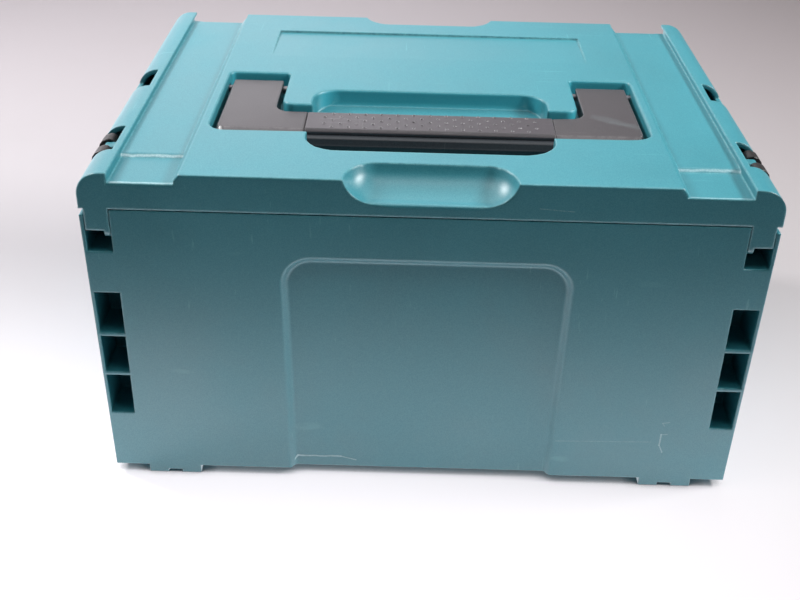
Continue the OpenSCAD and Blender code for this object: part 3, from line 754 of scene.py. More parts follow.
@dataclass(frozen=True)
class MouldedPlastic:
    """A grained satin plastic.

    Args:
        name: Name of the material.
        colour: Colour as seen on a screen, from 0 to 255.
        worn_and_glint: Colour of rubbed edges and scratches, and of the painted highlights on
            edges.
        roughness: Mean roughness.
        grain_size: Size of the grain, in millimetres.
        grain_depth: Strength of the grain.
        grain_height: Height of the grain, in millimetres.
        grain_tops: Grain values between which the worn colour of its tops fades in.
        rub_and_glint: How much the edges are lightened, partly as rubbing and partly as a painted
            highlight.
        edge_radius: Radius of the rounded edges, in millimetres.
        hairlines: How many fine scratches there are.
        tone_change: How far the tone drifts over the piece.
        cloud_size: Size of that drift, in metres.
        specular: Strength of the reflection.
        speck: How much of that pale colour shows on the tops of the grain.
        painted_light_boxes: Boxes in which walls that face the back are painted brighter, as
            painted light that stands in for the light falling on them.
        painted_light_facing: How far a wall faces the back where that painted light starts and is
            full.
        painted_light_gain: How much brighter that painted light makes the wall.
        scuffs_and_glints: Single strokes: real scuffs and painted highlights along rims.
        scuff_and_glint_colour: Colour of those strokes.
        roughness_drift: How far the roughness drifts over the piece.
        scratch_gloss: How much smoother the fine scratches are.
    """

    name: str
    colour: Colour
    worn_and_glint: Colour
    roughness: float = 0.45
    grain_size: float = 0.55
    grain_depth: float = 0.18
    grain_height: float = 0.1
    grain_tops: tuple[float, float] = (0.35, 0.75)
    rub_and_glint: float = 0.4
    edge_radius: float = 1.6
    hairlines: float = 0.2
    tone_change: float = 0.12
    cloud_size: float = 0.11
    specular: float = 0.5
    speck: float = 0.16
    painted_light_boxes: tuple[tuple[Point, Point], ...] = ()
    painted_light_facing: tuple[float, float] = (0.35, 0.8)
    painted_light_gain: float = 1.8
    scuffs_and_glints: tuple[ScuffAndGlint, ...] = ()
    scuff_and_glint_colour: Colour = (208, 238, 242)
    roughness_drift: float = 0.03
    scratch_gloss: float = 0.1

    def back_wall(self, wires: Wiring, where: bpy.types.NodeSocket, low: Point,
                  high: Point) -> bpy.types.NodeSocket:
        """Masks the walls inside a box that face the back of the case, for painted light.

        Args:
            wires: Wiring of the material.
            where: Object coordinates.
            low: Lowest corner of the box, in millimetres.
            high: Highest corner of the box, in millimetres.

        Returns:
            The mask, from 0 to 1.
        """
        parts = wires.add("ShaderNodeSeparateXYZ")
        wires.feed(parts.inputs[0], where)
        facing = wires.add("ShaderNodeSeparateXYZ")
        wires.feed(facing.inputs[0], wires.add("ShaderNodeNewGeometry").outputs["Normal"])
        mask = wires.ramp(facing.outputs["Y"], *self.painted_light_facing)
        for axis, least, most in zip("XYZ", low, high):
            value = parts.outputs[axis]
            mask = wires.math("MULTIPLY", mask, wires.math("GREATER_THAN", value, least * MM))
            mask = wires.math("MULTIPLY", mask, wires.math("LESS_THAN", value, most * MM))
        return mask

    def make(self, effects: Effects) -> bpy.types.Material:
        """Builds the material.

        Args:
            effects: The shared node groups.

        Returns:
            The material.
        """
        material = bpy.data.materials.new(self.name)
        material.use_nodes = True
        wires = Wiring(material.node_tree)
        shader = material.node_tree.nodes["Principled BSDF"]
        where = wires.add("ShaderNodeTexCoord").outputs["Object"]
        clouds = wires.use(effects.clouds, Where=where, Size=self.cloud_size).outputs["Mask"]
        grain = wires.use(effects.grain, Where=where, Size=self.grain_size * MM).outputs["Height"]
        lines = wires.use(effects.hairlines, Where=where, Amount=self.hairlines).outputs["Mask"]
        edge = wires.use(effects.edge_rub_and_glint, Where=where, Radius=self.edge_radius * MM)
        plain = linear(*self.colour)
        worn_and_glint = linear(*self.worn_and_glint)
        deep = tuple(value * (1 - self.tone_change) for value in plain[:3]) + (1.0,)
        colour = wires.mix(clouds, deep, plain)
        # Painted light: walls in these boxes that face the back are made brighter, standing in for
        # the light that falls on them.
        for low, high in self.painted_light_boxes:
            bright = tuple(min(1.0, value * self.painted_light_gain) for value in plain[:3]) + (1.0,)
            colour = wires.mix(self.back_wall(wires, where, low, high), colour, bright)
        speck = wires.ramp(grain, *self.grain_tops, 0.0, self.speck)
        colour = wires.mix(speck, colour, worn_and_glint)
        # Edges lightened, partly as rubbing and partly as a painted highlight.
        colour = wires.mix(wires.math("MULTIPLY", edge.outputs["Mask"], self.rub_and_glint), colour, worn_and_glint)
        colour = wires.mix(lines, colour, worn_and_glint)
        # Real scuffs, and painted highlights along rims.
        for scuff_and_glint in self.scuffs_and_glints:
            mark = wires.use(
                effects.stroke, Where=where, Start=tuple(v * MM for v in scuff_and_glint.start),
                End=tuple(v * MM for v in scuff_and_glint.end), Width=scuff_and_glint.width * MM,
                Ragged=scuff_and_glint.ragged).outputs["Mask"]
            colour = wires.mix(wires.math("MULTIPLY", mark, scuff_and_glint.strength), colour,
                               linear(*self.scuff_and_glint_colour))
        wires.feed(shader.inputs["Base Color"], colour)
        rough = wires.ramp(clouds, 0.0, 1.0, self.roughness - self.roughness_drift,
                           self.roughness + self.roughness_drift)
        rough = wires.math("ADD", rough, wires.math("MULTIPLY", lines, -self.scratch_gloss))
        wires.feed(shader.inputs["Roughness"], rough)
        shader.inputs["Specular IOR Level"].default_value = self.specular
        bump = wires.add("ShaderNodeBump")
        bump.inputs["Strength"].default_value = self.grain_depth
        bump.inputs["Distance"].default_value = self.grain_height * MM
        wires.feed(bump.inputs["Height"], grain)
        wires.feed(bump.inputs["Normal"], edge.outputs["Normal"])
        wires.feed(shader.inputs["Normal"], bump.outputs["Normal"])
        return material


@dataclass(frozen=True)
class DrawnSteel:
    """Drawn steel wire with fine lines along it.

    Args:
        name: Name of the material.
        colour: Colour as seen on a screen, from 0 to 255.
        roughness: Mean roughness.
        lengthways: Axis that the drawing lines run along, as scale factors.
        dull_gain: Brightness of the dull patches against the bright steel.
        dull_share: How strong the dull patches are.
        dull_size: Size of the dull patches, in metres.
        spread: How far the roughness goes below and above its mean.
        line_depth: Strength of the drawing lines.
        line_height: Height of the drawing lines, in millimetres.
    """

    name: str
    colour: Colour
    roughness: float = 0.32
    lengthways: Point = (20.0, 900.0, 900.0)
    dull_gain: float = 0.72
    dull_share: float = 0.6
    dull_size: float = 0.01
    spread: tuple[float, float] = (0.08, 0.12)
    line_depth: float = 0.15
    line_height: float = 0.05

    def make(self, effects: Effects) -> bpy.types.Material:
        """Builds the material.

        Args:
            effects: The shared node groups.

        Returns:
            The material.
        """
        material = bpy.data.materials.new(self.name)
        material.use_nodes = True
        wires = Wiring(material.node_tree)
        shader = material.node_tree.nodes["Principled BSDF"]
        where = wires.add("ShaderNodeTexCoord").outputs["Object"]
        stretched = wires.add("ShaderNodeMapping")
        wires.feed(stretched.inputs["Vector"], where)
        wires.feed(stretched.inputs["Scale"], self.lengthways)
        streaks = wires.noise(stretched.outputs[0], 1.0, 3.0, 0.6)
        clouds = wires.use(effects.clouds, Where=where, Size=self.dull_size).outputs["Mask"]
        bright = linear(*self.colour)
        dull = tuple(value * self.dull_gain for value in bright[:3]) + (1.0,)
        wires.feed(shader.inputs["Base Color"],
                   wires.mix(wires.math("MULTIPLY", clouds, self.dull_share), bright, dull))
        below, above = self.spread
        wires.feed(shader.inputs["Roughness"],
                   wires.ramp(streaks, 0.2, 0.8, self.roughness - below, self.roughness + above))
        shader.inputs["Metallic"].default_value = 1.0
        bump = wires.add("ShaderNodeBump")
        bump.inputs["Strength"].default_value = self.line_depth
        bump.inputs["Distance"].default_value = self.line_height * MM
        wires.feed(bump.inputs["Height"], streaks)
        wires.feed(shader.inputs["Normal"], bump.outputs["Normal"])
        return material


@dataclass
class Finishes:
    """Every finish of the case, made once.

    Args:
        effects: The shared node groups.
        shell: Plastic of the base.
        lid: Plastic of the lid, with more lightened edges (rubbing and painted highlight), painted
            highlights along its rims, and painted light on the pockets' walls that face the back.
        arm: Plastic of the handle's arms.
        pad: Plastic of the grip's pad.
        under_grip: Plastic of the part under the grip.
        latch: Plastic of the latches.
        steel: Steel of pins and screws that lie along X.
        latch_steel: Steel of the side latches' pins, which lie along Y.
    """

    effects: Effects
    shell: bpy.types.Material = field(init=False)
    lid: bpy.types.Material = field(init=False)
    arm: bpy.types.Material = field(init=False)
    pad: bpy.types.Material = field(init=False)
    under_grip: bpy.types.Material = field(init=False)
    latch: bpy.types.Material = field(init=False)
    steel: bpy.types.Material = field(init=False)
    latch_steel: bpy.types.Material = field(init=False)

    def __post_init__(self) -> None:
        """Makes the materials."""
        teal = (33, 124, 138)
        pale_teal = (120, 196, 202)
        plastic = MouldedPlastic(
            "case teal", teal, pale_teal, roughness=0.38, grain_size=0.6, rub_and_glint=0.35,
            hairlines=0.25, specular=0.8, scuffs_and_glints=CASE_SCUFFS)
        self.shell = plastic.make(self.effects)
        # The lid adds painted light on its pockets' back-facing walls, painted highlights along its
        # rims and more edge lightening (rubbing and painted highlight).
        self.lid = replace(
            plastic, name="lid teal", edge_radius=2.0, rub_and_glint=0.55,
            painted_light_boxes=(((-140, -21, 188), (140, 39, 209.6)),),
            scuffs_and_glints=CASE_SCUFFS + LID_RIM_HIGHLIGHTS).make(self.effects)
        self.arm = MouldedPlastic(
            "handle grey", (55, 51, 54), (170, 166, 168), roughness=0.36, grain_size=0.5,
            hairlines=0.3, specular=0.6, speck=0.06, scuffs_and_glints=ARM_SCUFFS).make(self.effects)
        # The pad's near-white edge colour and strong edge lightening paint highlights on its dots
        # and rims.
        self.pad = MouldedPlastic(
            "grip pad grey", (56, 51, 56), (225, 221, 225), roughness=0.32, grain_size=0.4,
            rub_and_glint=0.75, hairlines=0.12, edge_radius=0.6, specular=0.6, speck=0.02).make(self.effects)
        self.under_grip = MouldedPlastic(
            "under grip black", (19, 26, 33), (90, 94, 98), roughness=0.5, grain_size=0.5,
            rub_and_glint=0.5, edge_radius=0.7, hairlines=0.2, specular=0.45).make(self.effects)
        self.latch = MouldedPlastic(
            "latch black", (20, 19, 20), (80, 76, 74), roughness=0.42, grain_size=0.45,
            rub_and_glint=0.3, hairlines=0.2, specular=0.35).make(self.effects)
        self.steel = DrawnSteel("pin steel", (132, 130, 134), 0.45).make(self.effects)
        self.latch_steel = DrawnSteel(
            "side pin steel", (132, 130, 134), 0.45, (900.0, 20.0, 900.0)).make(self.effects)


def painted_rim_highlights(span: tuple[float, float], y: float, z: float, width: float,
               strengths: tuple[float, float], ragged: float) -> tuple[ScuffAndGlint, ScuffAndGlint]:
    """Makes a painted highlight along a rim on the left and its mirror image on the right.

    Args:
        span: Distances of its two ends from the middle of the case, in millimetres.
        y: Place of the rim from front to back, in millimetres.
        z: Height of the rim, in millimetres.
        width: Half width, in millimetres.
        strengths: How much the left and the right mark lighten the plastic.
        ragged: How broken up they are.

    Returns:
        The left mark and the right mark.
    """
    left, right = (
        ScuffAndGlint((side.value * span[0], y, z), (side.value * span[1], y, z), width, strength, ragged)
        for side, strength in zip(Side, strengths))
    return left, right


def scuff_chain(points: tuple[Point, ...],
                *strokes: tuple[float, float, float]) -> tuple[ScuffAndGlint, ...]:
    """Makes a mark that runs from point to point.

    Args:
        points: The ends of its strokes, in millimetres.
        *strokes: Half width, strength and raggedness of each stroke.

    Returns:
        The strokes.
    """
    return tuple(ScuffAndGlint(start, end, *stroke)
                 for start, end, stroke in zip(points, points[1:], strokes))


# The bent scratch at the lower edge of the back panel, two marks and a long fine line towards
# the right corner of the back face, and a fine line on the lid's back wall.
CASE_SCUFFS = (
    *scuff_chain(((81.8, 143.9, 8.8), (78.4, 143.6, 13.1), (50.9, 143.6, 13.3),
                  (41.1, 143.6, 10.6)),
                 (1.0, 0.8, 0.2), (0.85, 0.7, 0.2), (0.6, 0.55, 0.4)),
    *scuff_chain(((-153.9, 147.5, 50.6), (-149.7, 147.5, 49.6), (-151.1, 147.5, 47.5)),
                 (0.4, 0.3, 0.3), (0.4, 0.25, 0.3)),
    *scuff_chain(((-153.8, 147.5, 41.2), (-149.8, 147.5, 40.9), (-149.9, 147.5, 32.5),
                  (-152.2, 147.5, 27.0)),
                 (0.45, 0.35, 0.3), (0.75, 0.6, 0.3), (0.6, 0.5, 0.3)),
    ScuffAndGlint((-84.2, 147.5, 33.6), (-144.4, 147.5, 34.9), 0.35, 0.22, 0.8),
    ScuffAndGlint((-61.0, 147.5, 195.5), (-80.5, 147.5, 194.2), 0.35, 0.3, 0.8),
)

# Painted highlights where the channels' steps, the channels' back ends and the platform's back rim
# catch the light.
LID_RIM_HIGHLIGHTS = (
    *painted_rim_highlights((144.0, 179.2), 112.2, 205.4, 1.3, (0.5, 0.4), 0.35),
    *painted_rim_highlights((144.0, 177.5), 146.2, 204.3, 1.0, (0.45, 0.3), 0.35),
    *painted_rim_highlights((53.0, 138.0), 146.4, 209.5, 0.8, (0.12, 0.12), 0.7),
)

# A soft rubbed patch on the right arm.
ARM_SCUFFS = (
    ScuffAndGlint((-106.0, 38.0, 206.7), (-127.0, 52.0, 206.7), 6.0, 0.035, 0.3),
    ScuffAndGlint((-115.0, 46.0, 206.7), (-125.0, 52.5, 206.7), 3.0, 0.03, 0.6),
)


# ------------------------------------------------------------------ sub-assemblies


@dataclass
class CaseBase:
    """The deep lower half of the case and the pins of its hinge.

    Args:
        finishes: The finishes of the case.
        edge_width: Softening of an edge that no rule names, in millimetres.
        side_edge: Softening of the edges of the side walls.
        wall_edge: Softening of the edges of the back and front walls.
        mouth_edge: Softening of the upper rim.
        foot_edge: Softening of the edges of the feet.
        panel_half_width: Half the width of the box round a pressed panel, in millimetres.
        panel_z: Heights that this box lies between.
        panel_depth: How far it reaches in from the wall's face.
        panel_width: Softening of the panel's edges.
        rim_height: Height just over the box's upper rim.
        foot_height: Height just over the feet.
    """

    finishes: Finishes
    edge_width: float = 0.6
    side_edge: float = 0.6
    wall_edge: float = 0.5
    mouth_edge: float = 0.15
    foot_edge: float = 0.4
    panel_half_width: float = 86.0
    panel_z: tuple[float, float] = (8.0, 161.0)
    panel_depth: float = 4.2
    panel_width: float = 1.4
    rim_height: float = 190.0
    foot_height: float = 6.5

    def build(self) -> None:
        """Dresses the base shell and the hinge pins."""
        DressedShell("base_shell", "case_base", "base", "case_plastic", self.edge_width,
                     rules=self.edge_rules()).build(self.finishes.shell)
        for side in Side:
            dress_node(f"hinge_pin_{side.word}", self.finishes.steel)

    def edge_rules(self) -> list[EdgeRule]:
        """Softer outer corners, soft pressed panels and crisp ribs."""
        half_x, half_y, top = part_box("base_shell")[1] / MM
        rim = self.rim_height
        panels = front_and_back((0, half_y - self.panel_depth, self.panel_z[0]),
                                (self.panel_half_width, half_y + 1, self.panel_z[1]),
                                self.panel_width, hollow_too=True)
        sides = EdgeRule((half_x - 4, -OUTSIDE, 0), (half_x + 1, OUTSIDE, rim), self.side_edge)
        walls = front_and_back((0, half_y - 0.5, 0), (OUTSIDE, half_y + 1, rim), self.wall_edge)
        mouth = EdgeRule((0, -OUTSIDE, top - 0.5), (OUTSIDE, OUTSIDE, top + 1), self.mouth_edge)
        feet = EdgeRule((0, -OUTSIDE, -1), (OUTSIDE, OUTSIDE, self.foot_height), self.foot_edge)
        inside = EdgeRule((0, -OUTSIDE, -1), (OUTSIDE, OUTSIDE, OUTSIDE), 0.0)
        return [*panels, sides, *walls, mouth, feet, inside]


@dataclass
class CaseLid:
    """The lid with its rails, stacking channels, pockets and scoops.

    Args:
        finishes: The finishes of the case.
        edge_width: Softening of an edge that no rule names, in millimetres.
        soft_rim: Softening of the rims of the back scoop, the pockets and the platform.
        inner_rim: Softening of the back scoop's inner rim.
        corner_edge: Softening of the rims of the lid's corners.
        channel_edge: Softening of the rims of the channels.
        mouth_edge: Softening of the lower edge.
        wall_edge: Softening of the other edges of the back and front walls.
        side_edge: Softening of the edges of the side walls.
        scoop_half: Half the width of the boxes round the scoops.
        scoop_depth: Depth of those boxes.
        scoop_rim_y: Where along Y the inner rim of the back scoop lies.
        front_scoop_y: Where along Y the front scoop ends.
        front_scoop_rim: Softening of the front scoop's rims.
        scoop_bowl: Box that holds the curved walls of the back scoop.
        pocket_x: Half the width of the box round the pockets.
        pocket_y: Where along Y this box lies.
        corner_x: Where along X the rims of the lid's corners begin.
        end_x: Where along X the soft rims of the front and back walls end.
        end_z: Height from which those rims are soft.
        upper_depth: How far below the top the rims of the channels reach.
        mouth_z: Height just over the lid's lower edge.
        lower_edge: Height of the lid's lower edge and how far it is let down.
    """

    finishes: Finishes
    edge_width: float = 0.7
    soft_rim: float = 2.0
    inner_rim: float = 0.6
    corner_edge: float = 1.4
    channel_edge: float = 0.6
    mouth_edge: float = 0.15
    wall_edge: float = 0.6
    side_edge: float = 0.5
    scoop_half: float = 52.0
    scoop_depth: float = 18.0
    scoop_rim_y: tuple[float, float] = (116.0, 126.0)
    front_scoop_y: float = -124.0
    front_scoop_rim: float = 1.6
    scoop_bowl: tuple[Point, Point] = ((0, 116, 186), (52, 147.4, 209.9))
    pocket_x: float = 138.0
    pocket_y: tuple[float, float] = (-22.0, 112.0)
    corner_x: float = 178.0
    end_x: float = 180.0
    end_z: float = 203.0
    upper_depth: float = 6.5
    mouth_z: float = 192.0
    lower_edge: tuple[float, float] = (188.5, 0.55)

    def build(self) -> None:
        """Dresses the lid shell and the pins that turn in it."""
        DressedShell("lid_shell", "case_lid", "lid", "case_plastic", self.edge_width,
                     ease_folds=True, bowls=(self.scoop_bowl,), let_down=self.lower_edge,
                     rules=self.edge_rules()).build(self.finishes.lid)
        for side in Side:
            dress_node(f"latch_pin_front_{side.word}", self.finishes.steel)
            dress_node(f"latch_pin_side_{side.word}", self.finishes.latch_steel)
            dress_node(f"handle_pivot_pin_{side.word}", self.finishes.steel)

    def edge_rules(self) -> list[EdgeRule]:
        """Softer rims on the scoops, the pockets and the ends of the rails."""
        half_x, half_y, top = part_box("lid_shell")[1] / MM
        over, floor, half = top + 1, top - self.scoop_depth, self.scoop_half
        rim_start, rim_end = self.scoop_rim_y
        scoops = [
            EdgeRule((0, rim_start, top - 1), (half, rim_end, over), self.inner_rim),
            EdgeRule((0, rim_end, floor), (half, half_y + 1, over), self.soft_rim),
            EdgeRule((0, -half_y - 1, floor), (half, self.front_scoop_y, over),
                     self.front_scoop_rim),
        ]
        pockets = EdgeRule((0, self.pocket_y[0], top - 0.5),
                           (self.pocket_x, self.pocket_y[1], over), self.soft_rim)
        corners = front_and_back((self.corner_x, half_y - 1, self.lower_edge[0] + 0.5),
                                 (half_x + 1, half_y + 1, over), self.corner_edge)
        ends = front_and_back((0, half_y - 0.5, self.end_z),
                              (self.end_x, half_y + 1, over), self.soft_rim)
        upper = EdgeRule((0, -OUTSIDE, top - self.upper_depth), (OUTSIDE, OUTSIDE, over),
                         self.channel_edge)
        mouth = front_and_back((0, half_y - 0.5, 0), (OUTSIDE, half_y + 1, self.mouth_z),
                               self.mouth_edge)
        walls = front_and_back((0, half_y - 0.5, 0), (OUTSIDE, half_y + 1, top), self.wall_edge)
        sides = EdgeRule((half_x - 1, -OUTSIDE, 0), (half_x + 1, OUTSIDE, top), self.side_edge)
        inside = EdgeRule((0, -OUTSIDE, 0), (OUTSIDE, OUTSIDE, OUTSIDE), 0.0)
        return [*scoops, pockets, *corners, *ends, upper, *mouth, *walls, sides, inside]


@dataclass
class CarryHandle:
    """The fold-down handle: two arms, a padded grip and its screws.

    Args:
        finishes: The finishes of the case.
        edge_width: Softening of the edges of the arms and the under grip, in millimetres.
        pad_edge: Softening of the edges of the pad.
        top_rim: Softening of the rims of the arms' flat tops.
        top_z: Heights that those rims lie between.
    """

    finishes: Finishes
    edge_width: float = 0.6
    pad_edge: float = 0.35
    top_rim: float = 1.5
    top_z: tuple[float, float] = (205.4, 208.0)

    def build(self) -> None:
        """Dresses every piece of the handle."""
        rim = EdgeRule((0, -OUTSIDE, self.top_z[0]), (OUTSIDE, OUTSIDE, self.top_z[1]),
                       self.top_rim)
        for side in Side:
            DressedShell(f"handle_arm_{side.word}", f"carry_arm_{side.word}", "handle",
                         "handle_plastic", self.edge_width, ease_folds=True,
                         rules=[rim]).build(self.finishes.arm)
        DressedShell("handle_grip_pad", "carry_pad", "handle", "grip_pad",
                     self.pad_edge).build(self.finishes.pad)
        DressedShell("handle_grip_shell", "carry_shell", "handle", "grip_shell",
                     self.edge_width).build(self.finishes.under_grip)
        dress_node("handle_screws", self.finishes.steel)


@dataclass
class SwingLatches:
    """The four latches round the case.

    Args:
        finishes: The finishes of the case.
        edge_width: Softening of their edges, in millimetres.
    """

    finishes: Finishes
    edge_width: float = 0.5

    def build(self) -> None:
        """Dresses the two front latches and the two side latches."""
        for place in ("front", "side"):
            for side in Side:
                name = f"latch_{place}_{side.word}"
                DressedShell(name, f"swing_{name}", name, "latch_plastic",
                             self.edge_width).build(self.finishes.latch)


def dress_node(node: str, finish: bpy.types.Material) -> None:
    """Gives a CAD node that shows as it is its finish.

    Args:
        node: Name of the node.
        finish: Its material.
    """
    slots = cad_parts[node].data.materials
    slots.clear()
    slots.append(finish)


# ------------------------------------------------------------------ studio


@dataclass(frozen=True)
class SoftLamp:
    """A soft rectangular lamp aimed at the case.

    Args:
        name: Name of the lamp.
        place: Its place, in metres.
        size: Its width and depth, in metres.
        power: Its power, in watts.
        aim: The point that it is aimed at, in metres.
    """

    name: str
    place: Point
    size: tuple[float, float]
    power: float
    aim: Point = (0.0, 0.0, 0.12)

    def build(self) -> None:
        """Adds the lamp to the scene."""
        data = bpy.data.lights.new(self.name, "AREA")
        data.shape = "RECTANGLE"
        data.size, data.size_y = self.size
        data.energy = self.power
        lamp = bpy.data.objects.new(self.name, data)
        bpy.context.scene.collection.objects.link(lamp)
        turn = (Vector(self.aim) - Vector(self.place)).to_track_quat("-Z", "Y")
        lamp.matrix_world = Matrix.Translation(self.place) @ turn.to_matrix().to_4x4()


@dataclass(frozen=True)
class PaperTones:
    """Tones of the paper as seen on a screen, from 0 to 255: left tone first, then right.

    Args:
        near: In front.
        far: Behind the case.
        unseen: What the light meets behind and beside the case.
        bounce: What the light meets in front of the case.
        room: What the light meets far in front.
        stain: Faint marks on the paper.
        glow: Light that the paper gives off.
    """

    near: ColourPair = ((184, 181, 184), (143, 139, 137))
    far: ColourPair = ((180, 173, 177), (150, 142, 143))
    unseen: ColourPair = ((240, 238, 243), (104, 101, 104))
    bounce: ColourPair = ((236, 234, 239), (176, 173, 177))
    room: Colour = (90, 90, 94)
    stain: Colour = (160, 155, 152)
    glow: Colour = (250, 247, 252)


@dataclass
class Studio:
    """A pale floor that curves up into a backdrop, with plain soft light.

    Here, front means the camera's side, +Y, where the case shows its back.

    Args:
        half_width: Half the width of the floor, in metres.
        front_y: Where the floor ends in front.
        bend_y: Where it begins to curve up.
        bend_radius: Radius of that curve.
        height: Height of the backdrop over the curve.
        back_fade: Where along Y the tone starts and stops to change towards the back.
        front_fade: Where along Y the front begins and where it is complete.
        room_fade: Where along Y the room in front begins and where it is complete.
        right_fade: Where along X the tone starts and stops to change towards the right.
        sheen_fade: The same for what mirrors show of the backdrop.
        front_glow: Brightness that the camera sees in front, and its share on the right.
        front_sheen: Brightness that mirrors show of the front.
        back_sheen: Brightness that mirrors show of the back, on the left and on the right.
        contact_distance: How far around the case its shadow dims the glow, in metres.
        contact_range: Openness of the floor between which the glow comes back.
        stain_scale: Faint marks per metre.
        stain_range: Noise values between which a mark fades in.
        stain_strength: How strong the marks are.
        paper_roughness: Roughness of the paper.
        paper_specular: Strength of its reflection.
        air: Colour of the world.
        air_strength: Its strength.
        tones: Tones of the paper.
        lamps: The lamps.
    """

    half_width: float = 3.2
    front_y: float = 2.6
    bend_y: float = -1.1
    bend_radius: float = 0.5
    height: float = 2.2
    back_fade: tuple[float, float] = (0.45, -0.9)
    front_fade: tuple[float, float] = (-0.18, 0.2)
    room_fade: tuple[float, float] = (0.2, 0.45)
    right_fade: tuple[float, float] = (0.25, -0.8)
    sheen_fade: tuple[float, float] = (0.7, -0.6)
    front_glow: tuple[float, float] = (0.75, 0.1)
    front_sheen: float = 1.8
    back_sheen: tuple[float, float] = (1.05, 0.15)
    contact_distance: float = 0.01
    contact_range: tuple[float, float] = (0.3, 0.8)
    stain_scale: float = 9.0
    stain_range: tuple[float, float] = (0.5, 0.8)
    stain_strength: float = 0.06
    paper_roughness: float = 0.9
    paper_specular: float = 0.1
    air: Colour = (246, 244, 248)
    air_strength: float = 0.06
    tones: PaperTones = PaperTones()
    lamps: tuple[SoftLamp, ...] = (
        SoftLamp("overhead softbox", (0.2, -0.33, 1.6), (2.5, 1.6), 18.0),
        SoftLamp("strip lamp", (0.15, 0.42, 1.55), (1.8, 0.1), 4.5),
        SoftLamp("left softbox", (0.95, -0.36, 0.9), (0.28, 0.28), 13.0),
        SoftLamp("right softbox", (-1.0, 0.1, 0.85), (0.5, 0.22), 16.0),
    )

    def build(self) -> None:
        """Makes the floor, the world and the lamps."""
        self.build_floor()
        self.build_world()
        for lamp in self.lamps:
            lamp.build()

    def build_floor(self) -> None:
        """Extrudes the floor's edge back and round into the backdrop."""
        bpy.ops.object.select_all(action="DESELECT")
        bpy.ops.mesh.primitive_plane_add(size=1.0)
        floor = bpy.context.active_object
        floor.name = "studio_floor"
        depth = self.front_y - self.bend_y
        floor.data.transform(Matrix.Translation((0, (self.front_y + self.bend_y) / 2, 0))
                             @ Matrix.Diagonal((2 * self.half_width, depth, 1, 1)))
        bpy.ops.object.mode_set(mode="EDIT")
        bpy.ops.mesh.select_mode(type="EDGE")
        bpy.ops.mesh.select_all(action="DESELECT")
        bpy.ops.object.mode_set(mode="OBJECT")
        for edge in floor.data.edges:
            ends = [floor.data.vertices[index].co.y for index in edge.vertices]
            edge.select = all(math.isclose(y, self.bend_y, abs_tol=1e-6) for y in ends)
        bpy.ops.object.mode_set(mode="EDIT")
        bpy.ops.mesh.spin(steps=12, angle=math.pi / 2, center=(0, self.bend_y, self.bend_radius),
                          axis=(1, 0, 0))
        bpy.ops.mesh.extrude_region_move(
            TRANSFORM_OT_translate={"value": (0, 0, self.height)})
        bpy.ops.mesh.select_all(action="SELECT")
        bpy.ops.mesh.normals_make_consistent(inside=False)
        bpy.ops.object.mode_set(mode="OBJECT")
        if max(floor.data.polygons, key=lambda face: face.area).normal.z < 0:
            floor.data.flip_normals()
        bpy.ops.object.shade_smooth()
        floor.data.materials.append(self.floor_material())

    def floor_material(self) -> bpy.types.Material:
        """Pale paper: near white in front, a little darker at the back and to the right."""
        tones = self.tones
        material = bpy.data.materials.new("studio paper")
        material.use_nodes = True
        wires = Wiring(material.node_tree)
        shader = material.node_tree.nodes["Principled BSDF"]
        where = wires.add("ShaderNodeTexCoord").outputs["Object"]
        parts = wires.add("ShaderNodeSeparateXYZ")
        wires.feed(parts.inputs[0], where)
        across, away = parts.outputs["X"], parts.outputs["Y"]
        back = wires.ramp(away, *self.back_fade)
        front = wires.ramp(away, *self.front_fade)
        room = wires.ramp(away, *self.room_fade)
        right = wires.ramp(across, *self.right_fade)
        stain = wires.ramp(wires.noise(where, self.stain_scale, 5.0, 0.6), *self.stain_range,
                           0.0, self.stain_strength)
        near, far, unseen, bounce = (
            wires.mix(right, linear(*pair[0]), linear(*pair[1]))
            for pair in (tones.near, tones.far, tones.unseen, tones.bounce))
        seen = wires.mix(stain, wires.mix(back, near, far), linear(*tones.stain))
        unseen = wires.mix(room, wires.mix(front, unseen, bounce), linear(*tones.room))
        path = wires.add("ShaderNodeLightPath")
        wires.feed(shader.inputs["Base Color"],
                   wires.mix(path.outputs["Is Camera Ray"], unseen, seen))
        shader.inputs["Roughness"].default_value = self.paper_roughness
        shader.inputs["Specular IOR Level"].default_value = self.paper_specular
        shader.inputs["Emission Color"].default_value = linear(*tones.glow)
        contact = wires.add("ShaderNodeAmbientOcclusion", samples=8)
        contact.inputs["Distance"].default_value = self.contact_distance
        bright, share = self.front_glow
        glow = wires.math("MULTIPLY", wires.ramp(right, 0.0, 1.0, bright, bright * share), front)
        glow = wires.math("MULTIPLY", glow, wires.ramp(contact.outputs["AO"], *self.contact_range))
        behind = wires.ramp(wires.ramp(across, *self.sheen_fade), 0.0, 1.0, *self.back_sheen)
        before = wires.ramp(room, 0.0, 1.0, self.front_sheen, 0.0)
        sheen = wires.math("ADD", wires.math("MULTIPLY", before, front), wires.math(
            "MULTIPLY", behind, wires.math("SUBTRACT", 1.0, front)))
        wires.feed(shader.inputs["Emission Strength"], wires.math(
            "ADD", wires.math("MULTIPLY", path.outputs["Is Camera Ray"], glow),
            wires.math("MULTIPLY", path.outputs["Is Glossy Ray"], sheen)))
        return material

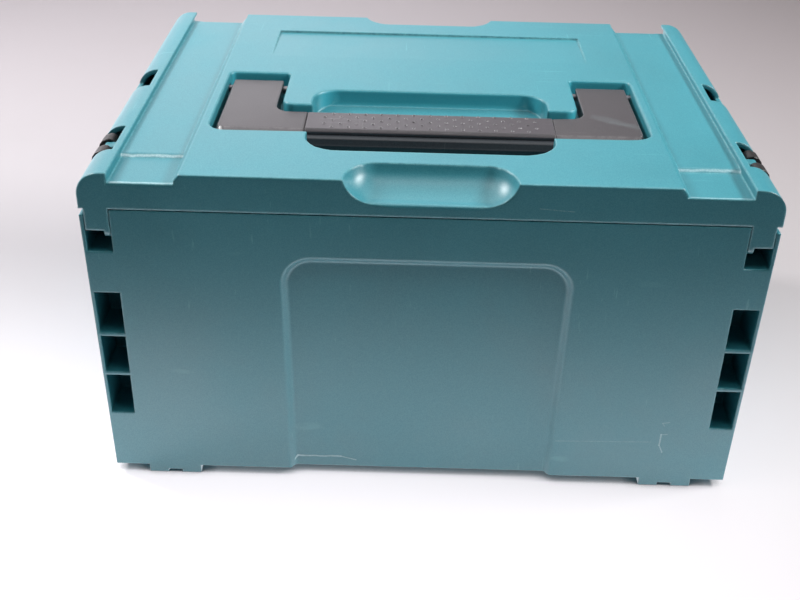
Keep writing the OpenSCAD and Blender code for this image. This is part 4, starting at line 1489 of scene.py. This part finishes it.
    def build_world(self) -> None:
        """A plain pale world."""
        world = bpy.data.worlds.new("studio air")
        world.use_nodes = True
        shader = world.node_tree.nodes["Background"]
        shader.inputs["Color"].default_value = linear(*self.air)
        shader.inputs["Strength"].default_value = self.air_strength
        bpy.context.scene.world = world


@dataclass
class ViewCamera:
    """The camera that looks down at the hinge side of the case.

    Args:
        place: Its place, in metres.
        turn_degrees: How far it is turned to its side.
        down_degrees: How far it looks down.
        roll_degrees: How far it is rolled about its line of sight.
        lens: Focal length, in millimetres.
        sensor_width: Width of the sensor, in millimetres.
        clip_start: Nearest distance that shows, in metres.
    """

    place: Point = (0.012887, 0.71425, 0.476324)
    turn_degrees: float = 0.25897
    down_degrees: float = 31.1360
    roll_degrees: float = 1.45381
    lens: float = 51.07
    sensor_width: float = 36.0
    clip_start: float = 0.02

    def build(self) -> None:
        """Places the camera and makes it the scene's own."""
        turn, down, roll = (math.radians(value) for value in
                            (self.turn_degrees, self.down_degrees, self.roll_degrees))
        ahead = Vector((math.sin(turn) * math.cos(down), -math.cos(turn) * math.cos(down),
                        -math.sin(down)))
        level = ahead.cross(Vector((0, 0, 1))).normalized()
        above = level.cross(ahead)
        right = math.cos(roll) * level + math.sin(roll) * above
        up = math.cos(roll) * above - math.sin(roll) * level
        data = bpy.data.cameras.new("view camera")
        data.sensor_width = self.sensor_width
        data.lens = self.lens
        data.clip_start = self.clip_start
        camera = bpy.data.objects.new("view camera", data)
        bpy.context.scene.collection.objects.link(camera)
        axes = Matrix((right, up, -ahead)).transposed().to_4x4()
        camera.matrix_world = Matrix.Translation(self.place) @ axes
        bpy.context.scene.camera = camera


def main() -> None:
    """Builds the camera, the studio and every sub-assembly in order."""
    bpy.context.scene.view_settings.view_transform = "Standard"
    ViewCamera().build()
    Studio().build()
    finishes = Finishes(Effects())
    steps: list[tuple[str, Callable[[], None]]] = [
        ("base", CaseBase(finishes).build),
        ("lid", CaseLid(finishes).build),
        ("handle", CarryHandle(finishes).build),
        ("latches", SwingLatches(finishes).build),
    ]
    for name, build in steps:
        build()
        log.info("built the %s", name)


if __name__ == "__main__":
    main()
